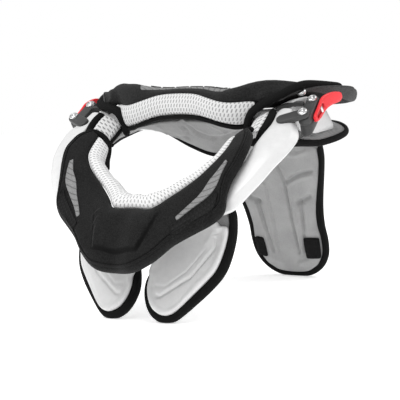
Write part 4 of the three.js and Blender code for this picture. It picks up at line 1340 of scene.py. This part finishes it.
def lever(word, side):
    """The red release lever with a window in it, its deep red heart and a steel pin."""
    sections = []
    for t in LEVER_STATIONS:
        x, y, half, low, high = along_rows(LEVER_ROWS, t)
        heights = (low + 0.8, *WINDOW_HEIGHTS, high - 0.8)
        loop = [(x - half, h) for h in heights]
        loop += [(x - half + 0.7, high), (x + half - 0.7, high)]
        loop += [(x + half, h) for h in reversed(heights)]
        loop += [(x + half - 0.7, low), (x - half + 0.7, low)]
        sections.append([ring(px * side, y, min(max(h, low), high)) for px, h in loop])
    bm = swept(sections)
    bm.verts.ensure_lookup_table()
    count = len(sections[0])
    first, last = (LEVER_STATIONS.index(t) for t in WINDOW_STATIONS)
    holes = []
    for a, b in ((1, 2), (7, 8)):
        faces = []
        for k in range(first, last):
            quad = {bm.verts[r * count + n] for r in (k, k + 1) for n in (a, b)}
            faces += [f for f in bm.verts[k * count + a].link_faces if set(f.verts) == quad]
        rim = {e for f in faces for e in f.edges if sum(g in faces for g in e.link_faces) == 1}
        bmesh.ops.delete(bm, geom=faces, context="FACES_KEEP_BOUNDARY")
        holes += [e for e in rim if e.is_valid]
    bmesh.ops.bridge_loops(bm, edges=holes)
    body = f"{word}_lever"
    piece(f"lever_arm_{word}", bm, body, "lever", LEVER, f"lever_{word}", levels=2)
    heart = []
    for y, grow in HEART_STEPS:
        heart.append([ring((136.6 + px * 0.8) * side, y, 93 + pz * 2.4 * grow) for px, pz in HEART_SECTION])
    piece(f"lever_heart_{word}", swept(heart), body, "lever", LEVER_CORE)
    path = [ring(137.9 * side, 191, z) for z in PIN_HEIGHTS]
    pin = swept(tube(path, 1.5, 1.5, Vector((0, 1, 0)), 12))
    piece(f"lever_pin_{word}", pin, body, "screw", STEEL)


# Putting the brace together
table = front_table()
front_inlays(table)
front_cushion()
rear = rear_table()
rear_insert(rear)
rear_cushion()
shoulder_lining()
rear_frame()
back_pad()
for word, side in SIDES:
    edge_cord(f"front_edge_{word}", FRONT_EDGE_PATH, side, 3.2, 3.2, "front_half", f"front_binding_{word}")
    edge_cord(f"rear_edge_{word}", REAR_BAND_PATHS[word], side, 5.2, 3.9, "rear_half", f"rear_band_{word}")
    front_arm(word, side)
    chest_paddle(word, side)
    side_pad(word, side)
    clasp(word, side)
    lever(word, side)


# The floor, the light and the camera
LIGHTS = (
    ("key_light", (-0.4, -1.2, 1.6), 1.0, 20.0),
    ("back_light", (0.9, 0.8, 1.3), 1.0, 9.0),
)
LIT_PLACE = Vector((0, 0, 0.1))


def studio():
    """A white floor and sky, and two soft lights."""
    bm = bmesh.new()
    bmesh.ops.create_grid(bm, x_segments=1, y_segments=1, size=4)
    mesh = bpy.data.meshes.new("floor")
    bm.to_mesh(mesh)
    bm.free()
    floor = bpy.data.objects.new("floor", mesh)
    bpy.context.scene.collection.objects.link(floor)
    glow = {"Emission_Color": (1, 1, 1, 1), "Emission_Strength": 0.5}
    pale = Finish("floor_paper", Roughness=0.9, Specular_IOR_Level=0.1, **glow)
    pale.wear(Base_Color=pale.greys(pale.noise(300.0), 248, 252))
    mesh.materials.append(pale.material)
    world = bpy.data.worlds.new("studio")
    world.use_nodes = True
    nodes = world.node_tree.nodes
    seen = nodes.new("ShaderNodeLightPath")
    dimmed = nodes.new("ShaderNodeMapRange")
    dimmed.inputs["To Min"].default_value = 0.6
    dimmed.inputs["To Max"].default_value = 1.0
    world.node_tree.links.new(seen.outputs["Is Camera Ray"], dimmed.inputs["Value"])
    world.node_tree.links.new(dimmed.outputs["Result"], nodes["Background"].inputs["Strength"])
    nodes["Background"].inputs["Color"].default_value = (1, 1, 1, 1)
    bpy.context.scene.world = world
    for name, place, size, power in LIGHTS:
        lamp = bpy.data.lights.new(name, "AREA")
        lamp.size = size
        lamp.energy = power
        light = bpy.data.objects.new(name, lamp)
        light.location = place
        light.rotation_euler = (LIT_PLACE - Vector(place)).to_track_quat("-Z", "Y").to_euler()
        bpy.context.scene.collection.objects.link(light)
    bpy.context.scene.view_settings.view_transform = "Standard"


CAMERA_PLACE = (0.6883, -1.0793, 0.2082)
CAMERA_TURN, CAMERA_TIP, CAMERA_ROLL = (math.radians(a) for a in (33.14, 4.9, 1.85))
CAMERA_LENS = 117


def photographer():
    """The camera, which stands in front of the brace on its left."""
    flat = math.cos(CAMERA_TIP)
    ahead = Vector((-math.sin(CAMERA_TURN) * flat, math.cos(CAMERA_TURN) * flat, -math.sin(CAMERA_TIP)))
    level = Vector((math.cos(CAMERA_TURN), math.sin(CAMERA_TURN), 0))
    right = level * math.cos(CAMERA_ROLL) - level.cross(ahead) * math.sin(CAMERA_ROLL)
    up = right.cross(ahead)
    data = bpy.data.cameras.new("camera")
    data.lens = CAMERA_LENS
    data.sensor_width = 36
    camera = bpy.data.objects.new("camera", data)
    turned = Matrix((right, up, -ahead)).transposed().to_4x4()
    camera.matrix_world = Matrix.Translation(CAMERA_PLACE) @ turned
    bpy.context.scene.collection.objects.link(camera)
    bpy.context.scene.camera = camera


studio()
photographer()
